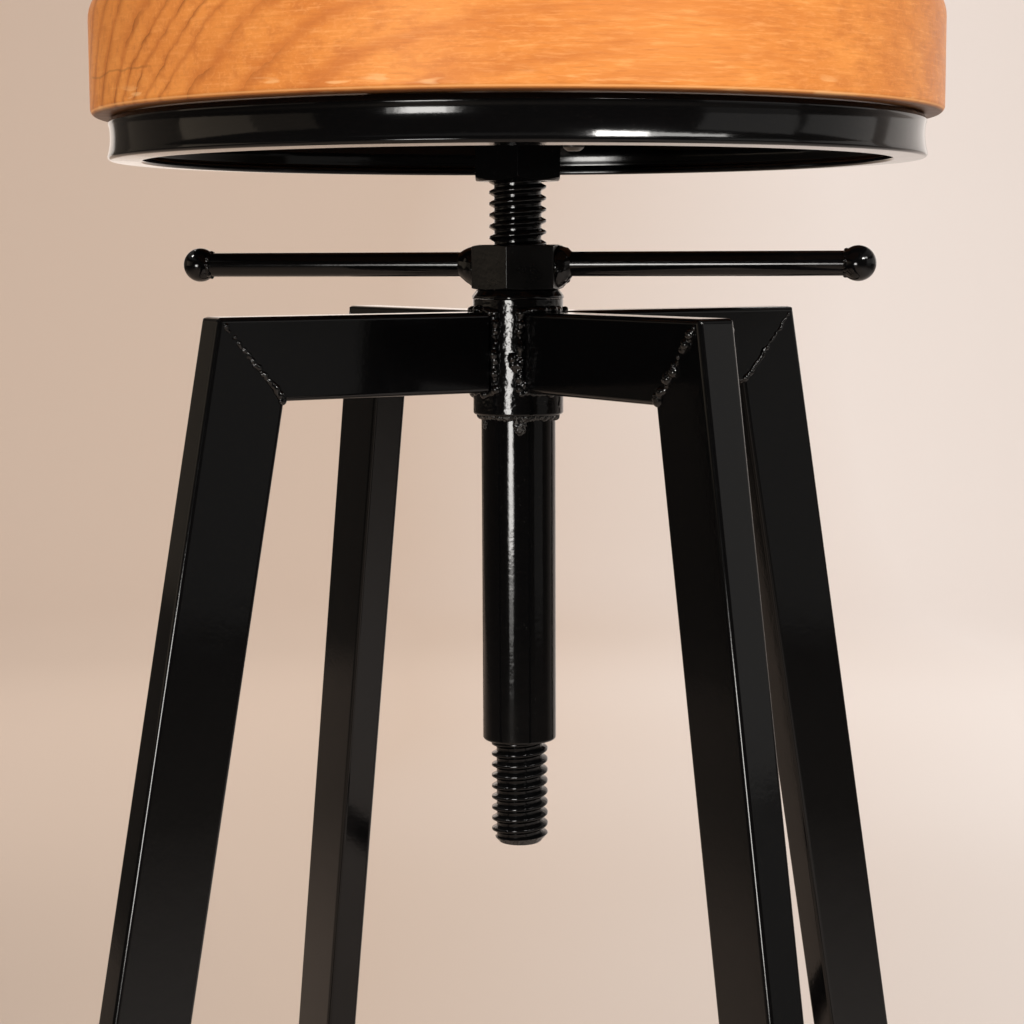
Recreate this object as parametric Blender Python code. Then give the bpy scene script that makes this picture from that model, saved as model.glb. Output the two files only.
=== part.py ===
"""Swivel bar stool with a screw-lifted round wooden seat on a welded four-legged steel frame.

Units are metres, +Z is up, and the floor is at z = 0 under the middle of the stool.
"""

import math

import bmesh
import bpy
from mathutils import Matrix, Vector

# Frame: arms, legs and feet
FRAME_HEIGHT = 0.600
ARM_REACH = 0.1198
LEG_SPLAY = math.radians(10.3)
TUBE_DEPTH = 0.0285
TUBE_WIDTH = 0.0140
TUBE_WALL = 0.0015
TUBE_CORNER = 0.0018
TUBE_INNER_CORNER = 0.0004
FOOT_CAP_BASE = 0.005
FOOT_CAP_OVERHANG = 0.0008
FOOT_CAP_CHAMFER = 0.001
FOOT_CAP_PLUG = 0.016
CORNERS = {
    "front_left": math.radians(225.0),
    "front_right": math.radians(315.0),
    "back_right": math.radians(45.0),
    "back_left": math.radians(135.0),
}

# Frame: hub and sleeve on the screw's axis
HUB_RISE = 0.0043
HUB_DROP = 0.0084
HUB_WALL = 0.00315
HUB_TOP_ROUND = 0.0010
HUB_BOTTOM_ROUND = 0.0008
SLEEVE_DROP = 0.117
SLEEVE_CLEARANCE = 0.0007
SLEEVE_WALL = 0.0024
SLEEVE_SOCKET = 0.010
SLEEVE_END_ROUND = 0.0006

# Frame: footrest
FOOTREST_HEIGHT = 0.225
FOOTREST_ROD = 0.016

# Lift screw
SCREW_DIAMETER = 0.020
SCREW_PITCH = 0.004
SCREW_THREAD_DEPTH = 0.0020
SCREW_TAIL = 0.0406
SCREW_CHAMFER = 0.0030

# Lock nut and its handle
LOCK_WASHER_RIM = 0.0065
LOCK_WASHER_THICKNESS = 0.0028
LOCK_WASHER_ROUND = 0.0016
NUT_WALL = 0.005
NUT_CHAMFER = math.radians(30.0)
NUT_CHAMFER_INSET = 0.0006
LOCK_NUT_HEIGHT = 0.016
LOCK_NUT_TURN = math.radians(30.0)
LOCK_BAR_DIAMETER = 0.0088
LOCK_BAR_RISE = 0.0011
LOCK_BALL_RIM = 0.00185
LOCK_BALL_CENTRE = 0.120
LOCK_BALL_SOCKET = 0.0035
LOCK_WELD_LENGTH = 0.006
LOCK_WELD_MARGIN = 0.0004

# Seat
SEAT_GAP = 0.0218
SEAT_NUT_HEIGHT = 0.016
SEAT_NUT_TURN = math.radians(-76.0)
SEAT_WASHER_RIM = 0.007
SEAT_WASHER_THICKNESS = 0.0016
SEAT_WASHER_ROUND = 0.0004
CROSS_BAR_WIDTH = 0.026
CROSS_BAR_THICKNESS = 0.004
RING_INSET = 0.0066
RING_HEIGHT = 0.0146
RING_WALL = 0.0026
RING_LIP = 0.012
RING_ROUND = 0.0022
RING_TOP_ROUND = 0.0011
RING_WAIST = 0.0005
SEAT_DIAMETER = 0.300
SEAT_THICKNESS = 0.045
SEAT_TOP_ROUND = 0.0125
SEAT_BOTTOM_ROUND = 0.003

# Wood screws
WOOD_SCREW_INSET = 0.0458
WOOD_SCREW_DIAMETER = 0.004
WOOD_SCREW_LENGTH = 0.028
WOOD_SCREW_POINT = 0.006
WOOD_SCREW_HEAD = 0.0085
WOOD_SCREW_HEAD_HEIGHT = 0.0026
WOOD_SCREW_HEAD_RIM = 0.0012
WOOD_SCREW_HEAD_FLAT = 0.0045

# Weld beads
MITRE_BEAD = 0.0024
MITRE_BEAD_INSET = 0.0040
HUB_BEAD = 0.0030
SLEEVE_BEAD = 0.0028
FOOTREST_BEAD = 0.0030

# Fits and facet counts
FIT = 0.0003
RUNNING_FIT = 0.0004
ROUND_SEGMENTS = 64
SMALL_SEGMENTS = 32
TINY_SEGMENTS = 16
THREAD_SEGMENTS = 12
SPARE_THREAD_TURNS = 2
ROD_SEGMENTS = 12
RING_BEAD_SEGMENTS = 6
CORNER_SEGMENTS = 3
ARC_SEGMENTS = 5
SHOULDER_SEGMENTS = 3
EDGE_SEGMENTS = 2
BEAD_RESOLUTION = 1
SHARP_ANGLE = math.radians(32.0)
MERGE_DISTANCE = 1e-6

# Round sizes that follow from the screw and the seat
SLEEVE_DIAMETER = SCREW_DIAMETER + 2 * (SLEEVE_CLEARANCE + SLEEVE_WALL)
HUB_DIAMETER = SLEEVE_DIAMETER + 2 * HUB_WALL
NUT_ACROSS_FLATS = SCREW_DIAMETER + 2 * NUT_WALL
LOCK_WASHER_DIAMETER = SCREW_DIAMETER + 2 * LOCK_WASHER_RIM
SEAT_WASHER_DIAMETER = SCREW_DIAMETER + 2 * SEAT_WASHER_RIM
LOCK_BALL_DIAMETER = LOCK_BAR_DIAMETER + 2 * LOCK_BALL_RIM
RING_DIAMETER = SEAT_DIAMETER - 2 * RING_INSET
WOOD_SCREW_RADIUS = RING_DIAMETER / 2 - RING_WALL - WOOD_SCREW_INSET

# Heights, from the arms' top faces upwards
HUB_TOP = FRAME_HEIGHT + HUB_RISE
LOCK_WASHER_BOTTOM = HUB_TOP + FIT
LOCK_NUT_BOTTOM = LOCK_WASHER_BOTTOM + LOCK_WASHER_THICKNESS + FIT
LOCK_NUT_TOP = LOCK_NUT_BOTTOM + LOCK_NUT_HEIGHT
LOCK_BAR_HEIGHT = LOCK_NUT_BOTTOM + LOCK_NUT_HEIGHT / 2 + LOCK_BAR_RISE
SEAT_NUT_BOTTOM = LOCK_NUT_TOP + SEAT_GAP
SEAT_NUT_TOP = SEAT_NUT_BOTTOM + SEAT_NUT_HEIGHT
SEAT_WASHER_BOTTOM = SEAT_NUT_TOP + FIT
CROSS_BAR_BOTTOM = SEAT_WASHER_BOTTOM + SEAT_WASHER_THICKNESS + FIT
CROSS_BAR_TOP = CROSS_BAR_BOTTOM + CROSS_BAR_THICKNESS
SEAT_BOTTOM = CROSS_BAR_TOP + FIT
SEAT_TOP = SEAT_BOTTOM + SEAT_THICKNESS
RING_TOP = SEAT_BOTTOM - FIT
RING_BOTTOM = RING_TOP - RING_HEIGHT

# Heights, from the arms' lower faces downwards
HUB_BOTTOM = FRAME_HEIGHT - TUBE_DEPTH - HUB_DROP
SLEEVE_TOP = HUB_BOTTOM + SLEEVE_SOCKET - FIT
SLEEVE_BOTTOM = HUB_BOTTOM - SLEEVE_DROP
SCREW_TOP = SEAT_NUT_TOP
SCREW_BOTTOM = SLEEVE_BOTTOM - SCREW_TAIL

UP = Vector((0.0, 0.0, 1.0))

# Surfaces: colour, then roughness
BLACK_PAINT = (0.012, 0.012, 0.013)
PAINT_ROUGHNESS = 0.18
STAINED_WOOD = (0.62, 0.25, 0.07)
WOOD_ROUGHNESS = 0.42
BLACK_PLASTIC = (0.02, 0.02, 0.021)
PLASTIC_ROUGHNESS = 0.55
ZINC = (0.55, 0.55, 0.53)
ZINC_ROUGHNESS = 0.35


def clear_scene():
    for item in list(bpy.data.objects):
        bpy.data.objects.remove(item, do_unlink=True)


def material(name, colour, roughness, metallic):
    made = bpy.data.materials.new(name)
    made.use_nodes = True
    shader = made.node_tree.nodes["Principled BSDF"]
    shader.inputs["Base Color"].default_value = (*colour, 1.0)
    shader.inputs["Roughness"].default_value = roughness
    shader.inputs["Metallic"].default_value = metallic
    return made


def paint(name):
    return material(name, BLACK_PAINT, PAINT_ROUGHNESS, 0.0)


def empty(name, height):
    """A parent on the screw's axis."""
    made = bpy.data.objects.new(name, None)
    made.location = (0.0, 0.0, height)
    bpy.context.collection.objects.link(made)
    return made


def finish_mesh(name, mesh_data, surface, parent, location=(0.0, 0.0, 0.0)):
    """Turn a bmesh into a named, shaded object under its parent."""
    bmesh.ops.recalc_face_normals(mesh_data, faces=mesh_data.faces)
    mesh = bpy.data.meshes.new(name)
    mesh_data.to_mesh(mesh)
    mesh_data.free()
    mesh.shade_smooth()
    mesh.set_sharp_from_angle(angle=SHARP_ANGLE)
    made = bpy.data.objects.new(name, mesh)
    if surface is not None:
        made.data.materials.append(surface)
    made.parent = parent
    made.location = location
    bpy.context.collection.objects.link(made)
    return made


def make_cutter(item):
    item.hide_render = True
    item.display_type = "WIRE"
    return item


def add_boolean(item, cutter, operation):
    modifier = item.modifiers.new(operation.lower(), "BOOLEAN")
    modifier.operation = operation
    modifier.solver = "EXACT"
    modifier.object = cutter


def turned(profile, segments, closed):
    """Spin (radius, height) points about Z; a closed profile makes a ring, an open one ends on the axis."""
    mesh_data = bmesh.new()
    verts = [mesh_data.verts.new((radius, 0.0, height)) for radius, height in profile]
    edges = [mesh_data.edges.new(pair) for pair in zip(verts, verts[1:])]
    if closed:
        edges.append(mesh_data.edges.new((verts[-1], verts[0])))
    bmesh.ops.spin(
        mesh_data,
        geom=verts + edges,
        cent=(0.0, 0.0, 0.0),
        axis=UP,
        angle=2 * math.pi,
        steps=segments,
        use_merge=True,
    )
    bmesh.ops.remove_doubles(mesh_data, verts=mesh_data.verts, dist=MERGE_DISTANCE)
    return mesh_data


def arc(centre, radius, start, end, steps=ARC_SEGMENTS):
    """Points on an arc in the (radius, height) plane, angles in degrees."""
    points = []
    for step in range(steps + 1):
        angle = math.radians(start + (end - start) * step / steps)
        points.append((centre[0] + radius * math.cos(angle), centre[1] + radius * math.sin(angle)))
    return points


def circle(centre, radius, segments):
    """Points all round a circle in the (radius, height) plane."""
    return arc(centre, radius, 0.0, 360.0, segments)[:-1]


def clear_radius(radius, segments):
    """The radius that a faceted bore leaves free."""
    return radius * math.cos(math.pi / segments)


def bore_radius(shaft_radius, fit, segments):
    """The corner radius of a faceted bore that clears a shaft by the fit."""
    return (shaft_radius + fit) / math.cos(math.pi / segments)


def rounded_rectangle(depth, width, corner):
    """Outline points (depth direction, width direction), anticlockwise."""
    points = []
    for index in range(4):
        angle = index * 90.0
        sign_depth = 1.0 if index in (0, 3) else -1.0
        sign_width = 1.0 if index in (0, 1) else -1.0
        centre = (sign_depth * (depth / 2 - corner), sign_width * (width / 2 - corner))
        points.extend(arc(centre, corner, angle, angle + 90.0, CORNER_SEGMENTS))
    return points


def corner_directions(angle):
    """Outward and sideways unit vectors of one corner of the frame."""
    outward = Vector((math.cos(angle), math.sin(angle), 0.0))
    sideways = Vector((-math.sin(angle), math.cos(angle), 0.0))
    return outward, sideways


def leg_directions(outward):
    """Unit vectors down the leg and across its depth, away from the axis."""
    down = outward * math.sin(LEG_SPLAY) - UP * math.cos(LEG_SPLAY)
    across = outward * math.cos(LEG_SPLAY) + UP * math.sin(LEG_SPLAY)
    return down, across


def mitre_directions(outward):
    """Unit vectors along the mitre cut, inwards, and square to it, from arm to leg."""
    down, _ = leg_directions(outward)
    along = (down - outward).normalized()
    square = (outward + down).normalized()
    return along, square


def tube_between(centre, along, depth_axis, width_axis, start_plane, end_plane):
    """Hollow rectangular tube whose ends are cut by two planes, each a (point, normal) pair."""
    mesh_data = bmesh.new()
    outer = rounded_rectangle(TUBE_DEPTH, TUBE_WIDTH, TUBE_CORNER)
    inner = rounded_rectangle(TUBE_DEPTH - 2 * TUBE_WALL, TUBE_WIDTH - 2 * TUBE_WALL, TUBE_INNER_CORNER)
    loops = []
    outside = ((outer, start_plane), (outer, end_plane))
    inside = ((inner, end_plane), (inner, start_plane))
    for outline, (point, normal) in outside + inside:
        loop = []
        for depth, width in outline:
            base = centre + depth_axis * depth + width_axis * width
            distance = (point - base).dot(normal) / along.dot(normal)
            loop.append(mesh_data.verts.new(base + along * distance))
        loops.append(loop)
    bridge_rings(mesh_data, loops, closed=True)
    return mesh_data


def bridge_rings(mesh_data, loops, closed):
    """Quads between following loops of equal length; a closed run also joins the last to the first."""
    pairs = list(zip(loops, loops[1:]))
    if closed:
        pairs.append((loops[-1], loops[0]))
    for first, second in pairs:
        count = len(first)
        for index in range(count):
            following = (index + 1) % count
            mesh_data.faces.new((first[index], first[following], second[following], second[index]))


def bead(name, points, thickness, cyclic, surface, parent):
    """Round weld bead along a path."""
    curve = bpy.data.curves.new(name, "CURVE")
    curve.dimensions = "3D"
    curve.bevel_depth = thickness / 2
    curve.bevel_resolution = BEAD_RESOLUTION
    curve.use_fill_caps = True
    spline = curve.splines.new("POLY")
    spline.points.add(len(points) - 1)
    for target, point in zip(spline.points, points):
        target.co = (*point, 1.0)
    spline.use_cyclic_u = cyclic
    curve.materials.append(surface)
    made = bpy.data.objects.new(name, curve)
    made.parent = parent
    bpy.context.collection.objects.link(made)
    return made


def make_arm(name, angle, parent):
    outward, sideways = corner_directions(angle)
    _, square = mitre_directions(outward)
    corner = outward * ARM_REACH + UP * FRAME_HEIGHT
    centre = UP * (FRAME_HEIGHT - TUBE_DEPTH / 2)
    start = (outward * (HUB_DIAMETER / 2 + FIT), outward)
    end = (corner - square * (FIT / 2), square)
    mesh_data = tube_between(centre, outward, UP, sideways, start, end)
    return finish_mesh(name, mesh_data, paint(name), parent)


def make_leg(name, angle, parent):
    outward, sideways = corner_directions(angle)
    down, across = leg_directions(outward)
    _, square = mitre_directions(outward)
    corner = outward * ARM_REACH + UP * FRAME_HEIGHT
    centre = corner - across * (TUBE_DEPTH / 2)
    start = (corner + square * (FIT / 2), square)
    end = (UP * (FOOT_CAP_BASE + FIT), UP)
    mesh_data = tube_between(centre, down, across, sideways, start, end)
    return finish_mesh(name, mesh_data, paint(name), parent)


def make_mitre_weld(name, angle, parent):
    """Bead down one side of the mitre, round its inner corner and up the other; the top is ground flush."""
    outward, sideways = corner_directions(angle)
    along, _ = mitre_directions(outward)
    corner = outward * ARM_REACH + UP * FRAME_HEIGHT
    cut_sine = -along.dot(UP)
    cut_length = TUBE_DEPTH / cut_sine
    stand_off = MITRE_BEAD / 2 + FIT
    reach = cut_length / 2 + stand_off / cut_sine
    half_width = TUBE_WIDTH / 2 + stand_off
    outline = rounded_rectangle(2 * reach, 2 * half_width, TUBE_CORNER + stand_off)
    corner_points = CORNER_SEGMENTS + 1
    outer_end = MITRE_BEAD_INSET - cut_length / 2
    path = [(outer_end, -half_width)]
    path += outline[-corner_points:] + outline[:corner_points]
    path.append((outer_end, half_width))
    middle = corner + along * (cut_length / 2)
    points = [middle + along * depth + sideways * width for depth, width in path]
    return bead(name, points, MITRE_BEAD, False, paint(name), parent)


def make_hub_weld(name, angle, parent):
    """Bead in the corner between an arm's end and the round hub."""
    stand_off = HUB_BEAD / 2 + FIT
    radius = HUB_DIAMETER / 2 + stand_off
    half_width = TUBE_WIDTH / 2 + stand_off
    half_angle = math.asin(half_width / radius)
    top = FRAME_HEIGHT + stand_off
    bottom = FRAME_HEIGHT - TUBE_DEPTH - stand_off
    middle = (top + bottom) / 2
    turns = [half_angle * (2 * step / ARC_SEGMENTS - 1) for step in range(ARC_SEGMENTS + 1)]
    path = [(turn, top) for turn in turns]
    path.append((half_angle, middle))
    path.extend((turn, bottom) for turn in reversed(turns))
    path.append((-half_angle, middle))
    points = [
        Vector((radius * math.cos(angle + turn), radius * math.sin(angle + turn), height))
        for turn, height in path
    ]
    return bead(name, points, HUB_BEAD, True, paint(name), parent)


def make_hub(parent):
    outer = HUB_DIAMETER / 2
    bore = bore_radius(SCREW_DIAMETER / 2, RUNNING_FIT, SMALL_SEGMENTS)
    socket = bore_radius(SLEEVE_DIAMETER / 2, FIT, SMALL_SEGMENTS)
    profile = [(bore, HUB_TOP)]
    profile += arc((outer - HUB_TOP_ROUND, HUB_TOP - HUB_TOP_ROUND), HUB_TOP_ROUND, 90, 0)
    bottom_centre = (outer - HUB_BOTTOM_ROUND, HUB_BOTTOM + HUB_BOTTOM_ROUND)
    profile += arc(bottom_centre, HUB_BOTTOM_ROUND, 0, -90, EDGE_SEGMENTS)
    shoulder = HUB_BOTTOM + SLEEVE_SOCKET
    profile += [(socket, HUB_BOTTOM), (socket, shoulder), (bore, shoulder)]
    return finish_mesh("hub", turned(profile, SMALL_SEGMENTS, True), paint("hub"), parent)


def make_sleeve(parent):
    outer = SLEEVE_DIAMETER / 2
    inner = outer - SLEEVE_WALL
    corner = (outer - SLEEVE_END_ROUND, SLEEVE_BOTTOM + SLEEVE_END_ROUND)
    profile = [(inner, SLEEVE_TOP), (outer, SLEEVE_TOP)]
    profile += arc(corner, SLEEVE_END_ROUND, 0, -90, EDGE_SEGMENTS)
    profile += [(inner, SLEEVE_BOTTOM)]
    return finish_mesh("sleeve", turned(profile, SMALL_SEGMENTS, True), paint("sleeve"), parent)


def make_sleeve_weld(parent):
    """Ring bead in the corner under the hub."""
    radius = SLEEVE_DIAMETER / 2 + FIT + SLEEVE_BEAD / 2
    height = HUB_BOTTOM - FIT - SLEEVE_BEAD / 2
    profile = circle((radius, height), SLEEVE_BEAD / 2, RING_BEAD_SEGMENTS)
    surface = paint("sleeve_weld")
    return finish_mesh("sleeve_weld", turned(profile, SMALL_SEGMENTS, True), surface, parent)


def footrest_radius():
    """Middle radius of the footrest, resting against the legs' inner faces."""
    leg_outer = ARM_REACH + (FRAME_HEIGHT - FOOTREST_HEIGHT) * math.tan(LEG_SPLAY)
    leg_inner = leg_outer - TUBE_DEPTH / math.cos(LEG_SPLAY)
    return leg_inner - (FOOTREST_ROD / 2 + FIT) / math.cos(LEG_SPLAY)


def make_footrest(parent):
    profile = circle((footrest_radius(), FOOTREST_HEIGHT), FOOTREST_ROD / 2, ROD_SEGMENTS)
    surface = paint("footrest_ring")
    return finish_mesh("footrest_ring", turned(profile, ROUND_SEGMENTS, True), surface, parent)


def make_footrest_weld(name, angle, above, parent):
    """Straight bead in the notch between footrest and leg, above or below the rod."""
    outward, sideways = corner_directions(angle)
    down, across = leg_directions(outward)
    rod_centre = outward * footrest_radius() + UP * FOOTREST_HEIGHT
    bead_radius = FOOTREST_BEAD / 2
    to_rod = FOOTREST_ROD / 2 + FIT + bead_radius
    towards_leg = FOOTREST_ROD / 2 - bead_radius
    along_leg = math.sqrt(to_rod**2 - towards_leg**2)
    side = -1.0 if above else 1.0
    centre = rod_centre + across * towards_leg + down * (side * along_leg)
    half_length = TUBE_WIDTH / 2 - TUBE_CORNER
    points = [centre + sideways * (half_length * place) for place in (-1.0, -0.5, 0.0, 0.5, 1.0)]
    return bead(name, points, FOOTREST_BEAD, False, paint(name), parent)


def make_foot_cap(name, angle, parent):
    """Plastic plug: a flat base under the leg and a slanted plug inside it."""
    outward, sideways = corner_directions(angle)
    slope = math.tan(LEG_SPLAY)
    section_depth = TUBE_DEPTH / math.cos(LEG_SPLAY)
    middle = ARM_REACH + (FRAME_HEIGHT - FOOT_CAP_BASE) * slope - section_depth / 2
    wall_depth = TUBE_WALL / math.cos(LEG_SPLAY)
    grow = FOOT_CAP_OVERHANG
    inside = FIT / math.cos(LEG_SPLAY)
    rings = (
        (grow - FOOT_CAP_CHAMFER, grow - FOOT_CAP_CHAMFER, 0.0, 0.0),
        (grow, grow, FOOT_CAP_CHAMFER, 0.0),
        (grow, grow, FOOT_CAP_BASE, 0.0),
        (-wall_depth - inside, -TUBE_WALL - FIT, FOOT_CAP_BASE, 0.0),
        (-wall_depth - inside, -TUBE_WALL - FIT, FOOT_CAP_BASE + FOOT_CAP_PLUG, -FOOT_CAP_PLUG * slope),
    )
    mesh_data = bmesh.new()
    loops = []
    for grow_depth, grow_width, height, shift in rings:
        ring_depth = section_depth + 2 * grow_depth
        ring_width = TUBE_WIDTH + 2 * grow_width
        loop = []
        for depth, width in rounded_rectangle(ring_depth, ring_width, TUBE_CORNER):
            place = outward * (middle + shift + depth) + sideways * width + UP * height
            loop.append(mesh_data.verts.new(place))
        loops.append(loop)
    bridge_rings(mesh_data, loops, closed=False)
    mesh_data.faces.new(loops[0])
    mesh_data.faces.new(loops[-1])
    surface = material(name, BLACK_PLASTIC, PLASTIC_ROUGHNESS, 0.0)
    return finish_mesh(name, mesh_data, surface, parent)


def make_washer(name, bottom, diameter, thickness, top_round, parent):
    """Washer with a rounded top edge that the screw runs through."""
    outer = diameter / 2
    bore = bore_radius(SCREW_DIAMETER / 2, RUNNING_FIT, SMALL_SEGMENTS)
    low = bottom - parent.location.z
    high = low + thickness
    profile = [(bore, high)]
    profile += arc((outer - top_round, high - top_round), top_round, 90, 0, SHOULDER_SEGMENTS)
    profile += [(outer, low), (bore, low)]
    return finish_mesh(name, turned(profile, SMALL_SEGMENTS, True), paint(name), parent)


def make_nut(name, bottom, height, turn, fit, parent):
    """Hex nut with chamfered corners; turn is the direction of one corner."""
    low = bottom - parent.location.z
    corner_radius = NUT_ACROSS_FLATS / math.sqrt(3.0)
    mesh_data = bmesh.new()
    loops = []
    for level in (low, low + height):
        loop = []
        for index in range(6):
            angle = turn + math.radians(60.0 * index)
            across = Vector((math.cos(angle), math.sin(angle), 0.0))
            loop.append(mesh_data.verts.new(across * corner_radius + UP * level))
        loops.append(loop)
    bridge_rings(mesh_data, loops, closed=False)
    mesh_data.faces.new(loops[0])
    mesh_data.faces.new(loops[-1])
    nut = finish_mesh(name, mesh_data, paint(name), parent)

    face_radius = NUT_ACROSS_FLATS / 2 - NUT_CHAMFER_INSET
    wide_radius = corner_radius + NUT_CHAMFER_INSET
    bevel = (wide_radius - face_radius) * math.tan(NUT_CHAMFER)
    barrel_profile = [
        (0.0, low + height),
        (face_radius, low + height),
        (wide_radius, low + height - bevel),
        (wide_radius, low + bevel),
        (face_radius, low),
        (0.0, low),
    ]
    barrel = finish_mesh(name + "_barrel", turned(barrel_profile, SMALL_SEGMENTS, False), None, parent)
    add_boolean(nut, make_cutter(barrel), "INTERSECT")

    bore = bore_radius(SCREW_DIAMETER / 2, fit, SMALL_SEGMENTS)
    drill_top = low + 2 * height
    drill_end = low - height
    bore_profile = [(0.0, drill_top), (bore, drill_top), (bore, drill_end), (0.0, drill_end)]
    drill = finish_mesh(name + "_drill", turned(bore_profile, SMALL_SEGMENTS, False), None, parent)
    add_boolean(nut, make_cutter(drill), "DIFFERENCE")
    return nut


def make_lock_bar(name, side, parent):
    """Round bar from the nut's flat into the ball's socket; side is +1 or -1 along X."""
    start = NUT_ACROSS_FLATS / 2 + FIT
    end = LOCK_BALL_CENTRE - LOCK_BALL_DIAMETER / 2 + LOCK_BALL_SOCKET - FIT
    radius = LOCK_BAR_DIAMETER / 2
    profile = [(0.0, end), (radius, end), (radius, start), (0.0, start)]
    bar = finish_mesh(name, turned(profile, TINY_SEGMENTS, False), paint(name), parent)
    return lay_along_x(bar, side, parent)


def make_lock_ball(name, side, parent):
    """Ball with a blind socket for the bar's end."""
    radius = LOCK_BALL_DIAMETER / 2
    socket = bore_radius(LOCK_BAR_DIAMETER / 2, FIT, TINY_SEGMENTS)
    mouth_angle = math.degrees(math.acos(socket / radius))
    socket_floor = LOCK_BALL_CENTRE - radius + LOCK_BALL_SOCKET
    profile = arc((0.0, LOCK_BALL_CENTRE), radius, 90.0, -mouth_angle, 2 * ARC_SEGMENTS)
    profile[0] = (0.0, LOCK_BALL_CENTRE + radius)
    profile += [(socket, socket_floor), (0.0, socket_floor)]
    ball = finish_mesh(name, turned(profile, TINY_SEGMENTS, False), paint(name), parent)
    return lay_along_x(ball, side, parent)


def make_lock_weld(name, side, parent):
    """Skewed cone of weld from the nut's whole flat to the bar's root."""
    bar_height = LOCK_BAR_HEIGHT - parent.location.z
    nut_middle = LOCK_NUT_HEIGHT / 2
    start = NUT_ACROSS_FLATS / 2 + FIT
    hole = bore_radius(LOCK_BAR_DIAMETER / 2, FIT, TINY_SEGMENTS)
    tip = hole + LOCK_WELD_MARGIN
    base = LOCK_NUT_HEIGHT / 2 - LOCK_WELD_MARGIN
    rings = (
        (hole, start, bar_height),
        (base, start, nut_middle),
        ((base + tip) / 2, start + LOCK_WELD_LENGTH / 2, (bar_height + nut_middle) / 2),
        (tip, start + LOCK_WELD_LENGTH, bar_height),
        (hole, start + LOCK_WELD_LENGTH, bar_height),
    )
    mesh_data = bmesh.new()
    loops = []
    for radius, reach, height in rings:
        loop = []
        for step in range(TINY_SEGMENTS):
            angle = 2 * math.pi * step / TINY_SEGMENTS
            place = (side * reach, radius * math.cos(angle), height + radius * math.sin(angle))
            loop.append(mesh_data.verts.new(place))
        loops.append(loop)
    bridge_rings(mesh_data, loops, closed=True)
    return finish_mesh(name, mesh_data, paint(name), parent)


def lay_along_x(item, side, parent):
    item.rotation_euler = (0.0, side * math.pi / 2, 0.0)
    item.location = (0.0, 0.0, LOCK_BAR_HEIGHT - parent.location.z)
    return item


def make_lift_screw(parent):
    """Right-hand thread as one helical strip, trimmed to length by a chamfered blank."""
    crest = SCREW_DIAMETER / 2
    root = crest - SCREW_THREAD_DEPTH
    low = SCREW_BOTTOM - parent.location.z
    high = SCREW_TOP - parent.location.z
    turns = math.ceil((high - low) / SCREW_PITCH) + 2 * SPARE_THREAD_TURNS
    start = low - SPARE_THREAD_TURNS * SCREW_PITCH
    strip = []
    mesh_data = bmesh.new()
    for step in range(turns * THREAD_SEGMENTS + 1):
        angle = 2 * math.pi * step / THREAD_SEGMENTS
        rise = start + SCREW_PITCH * step / THREAD_SEGMENTS
        across = Vector((math.cos(angle), math.sin(angle), 0.0))
        root_vert = mesh_data.verts.new(across * root + UP * rise)
        crest_vert = mesh_data.verts.new(across * crest + UP * (rise + SCREW_PITCH / 2))
        strip.append((root_vert, crest_vert))
    last = len(strip) - 1
    for step in range(last):
        here, following = strip[step], strip[step + 1]
        mesh_data.faces.new((here[0], following[0], following[1], here[1]))
        if step + THREAD_SEGMENTS < last:
            above, above_following = strip[step + THREAD_SEGMENTS], strip[step + THREAD_SEGMENTS + 1]
            mesh_data.faces.new((here[1], following[1], above_following[0], above[0]))
    foot = mesh_data.verts.new(UP * (start + SCREW_PITCH / 2))
    for step in range(THREAD_SEGMENTS):
        mesh_data.faces.new((foot, strip[step + 1][0], strip[step][0]))
    mesh_data.faces.new((foot, strip[0][0], strip[0][1]))
    mesh_data.faces.new((foot, strip[0][1], strip[THREAD_SEGMENTS][0]))
    head = mesh_data.verts.new(UP * (start + SCREW_PITCH * turns))
    for step in range(last - THREAD_SEGMENTS, last):
        mesh_data.faces.new((head, strip[step][1], strip[step + 1][1]))
    mesh_data.faces.new((head, strip[last][1], strip[last][0]))
    mesh_data.faces.new((head, strip[last][0], strip[last - THREAD_SEGMENTS][1]))
    screw = finish_mesh("lift_screw", mesh_data, paint("lift_screw"), parent)

    outside = crest + FIT
    blank_profile = [
        (0.0, high),
        (outside, high),
        (outside, low + SCREW_CHAMFER),
        (outside - SCREW_CHAMFER, low),
        (0.0, low),
    ]
    blank = finish_mesh("lift_screw_blank", turned(blank_profile, SMALL_SEGMENTS, False), None, parent)
    add_boolean(screw, make_cutter(blank), "INTERSECT")
    return screw


def make_seat_ring(parent):
    """Rolled ring: a slightly waisted band with a lip turned in at the bottom."""
    low = RING_BOTTOM - parent.location.z
    high = RING_TOP - parent.location.z
    outer = RING_DIAMETER / 2
    inner = outer - RING_WALL
    lip = outer - RING_LIP
    profile = [(inner, high)]
    top_centre = (outer - RING_TOP_ROUND, high - RING_TOP_ROUND)
    profile += arc(top_centre, RING_TOP_ROUND, 90, 0, EDGE_SEGMENTS)
    profile += [(outer - RING_WAIST, (high + low) / 2)]
    profile += arc((outer - RING_ROUND, low + RING_ROUND), RING_ROUND, 0, -90, SHOULDER_SEGMENTS)
    profile += [(lip, low), (lip, low + RING_WALL), (inner, low + RING_WALL)]
    return finish_mesh("seat_ring", turned(profile, ROUND_SEGMENTS, True), paint("seat_ring"), parent)


def wood_screw_places():
    """Middle of each wood screw, on the cross bars."""
    return {
        "right": Vector((WOOD_SCREW_RADIUS, 0.0, 0.0)),
        "back": Vector((0.0, WOOD_SCREW_RADIUS, 0.0)),
        "left": Vector((-WOOD_SCREW_RADIUS, 0.0, 0.0)),
        "front": Vector((0.0, -WOOD_SCREW_RADIUS, 0.0)),
    }


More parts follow.
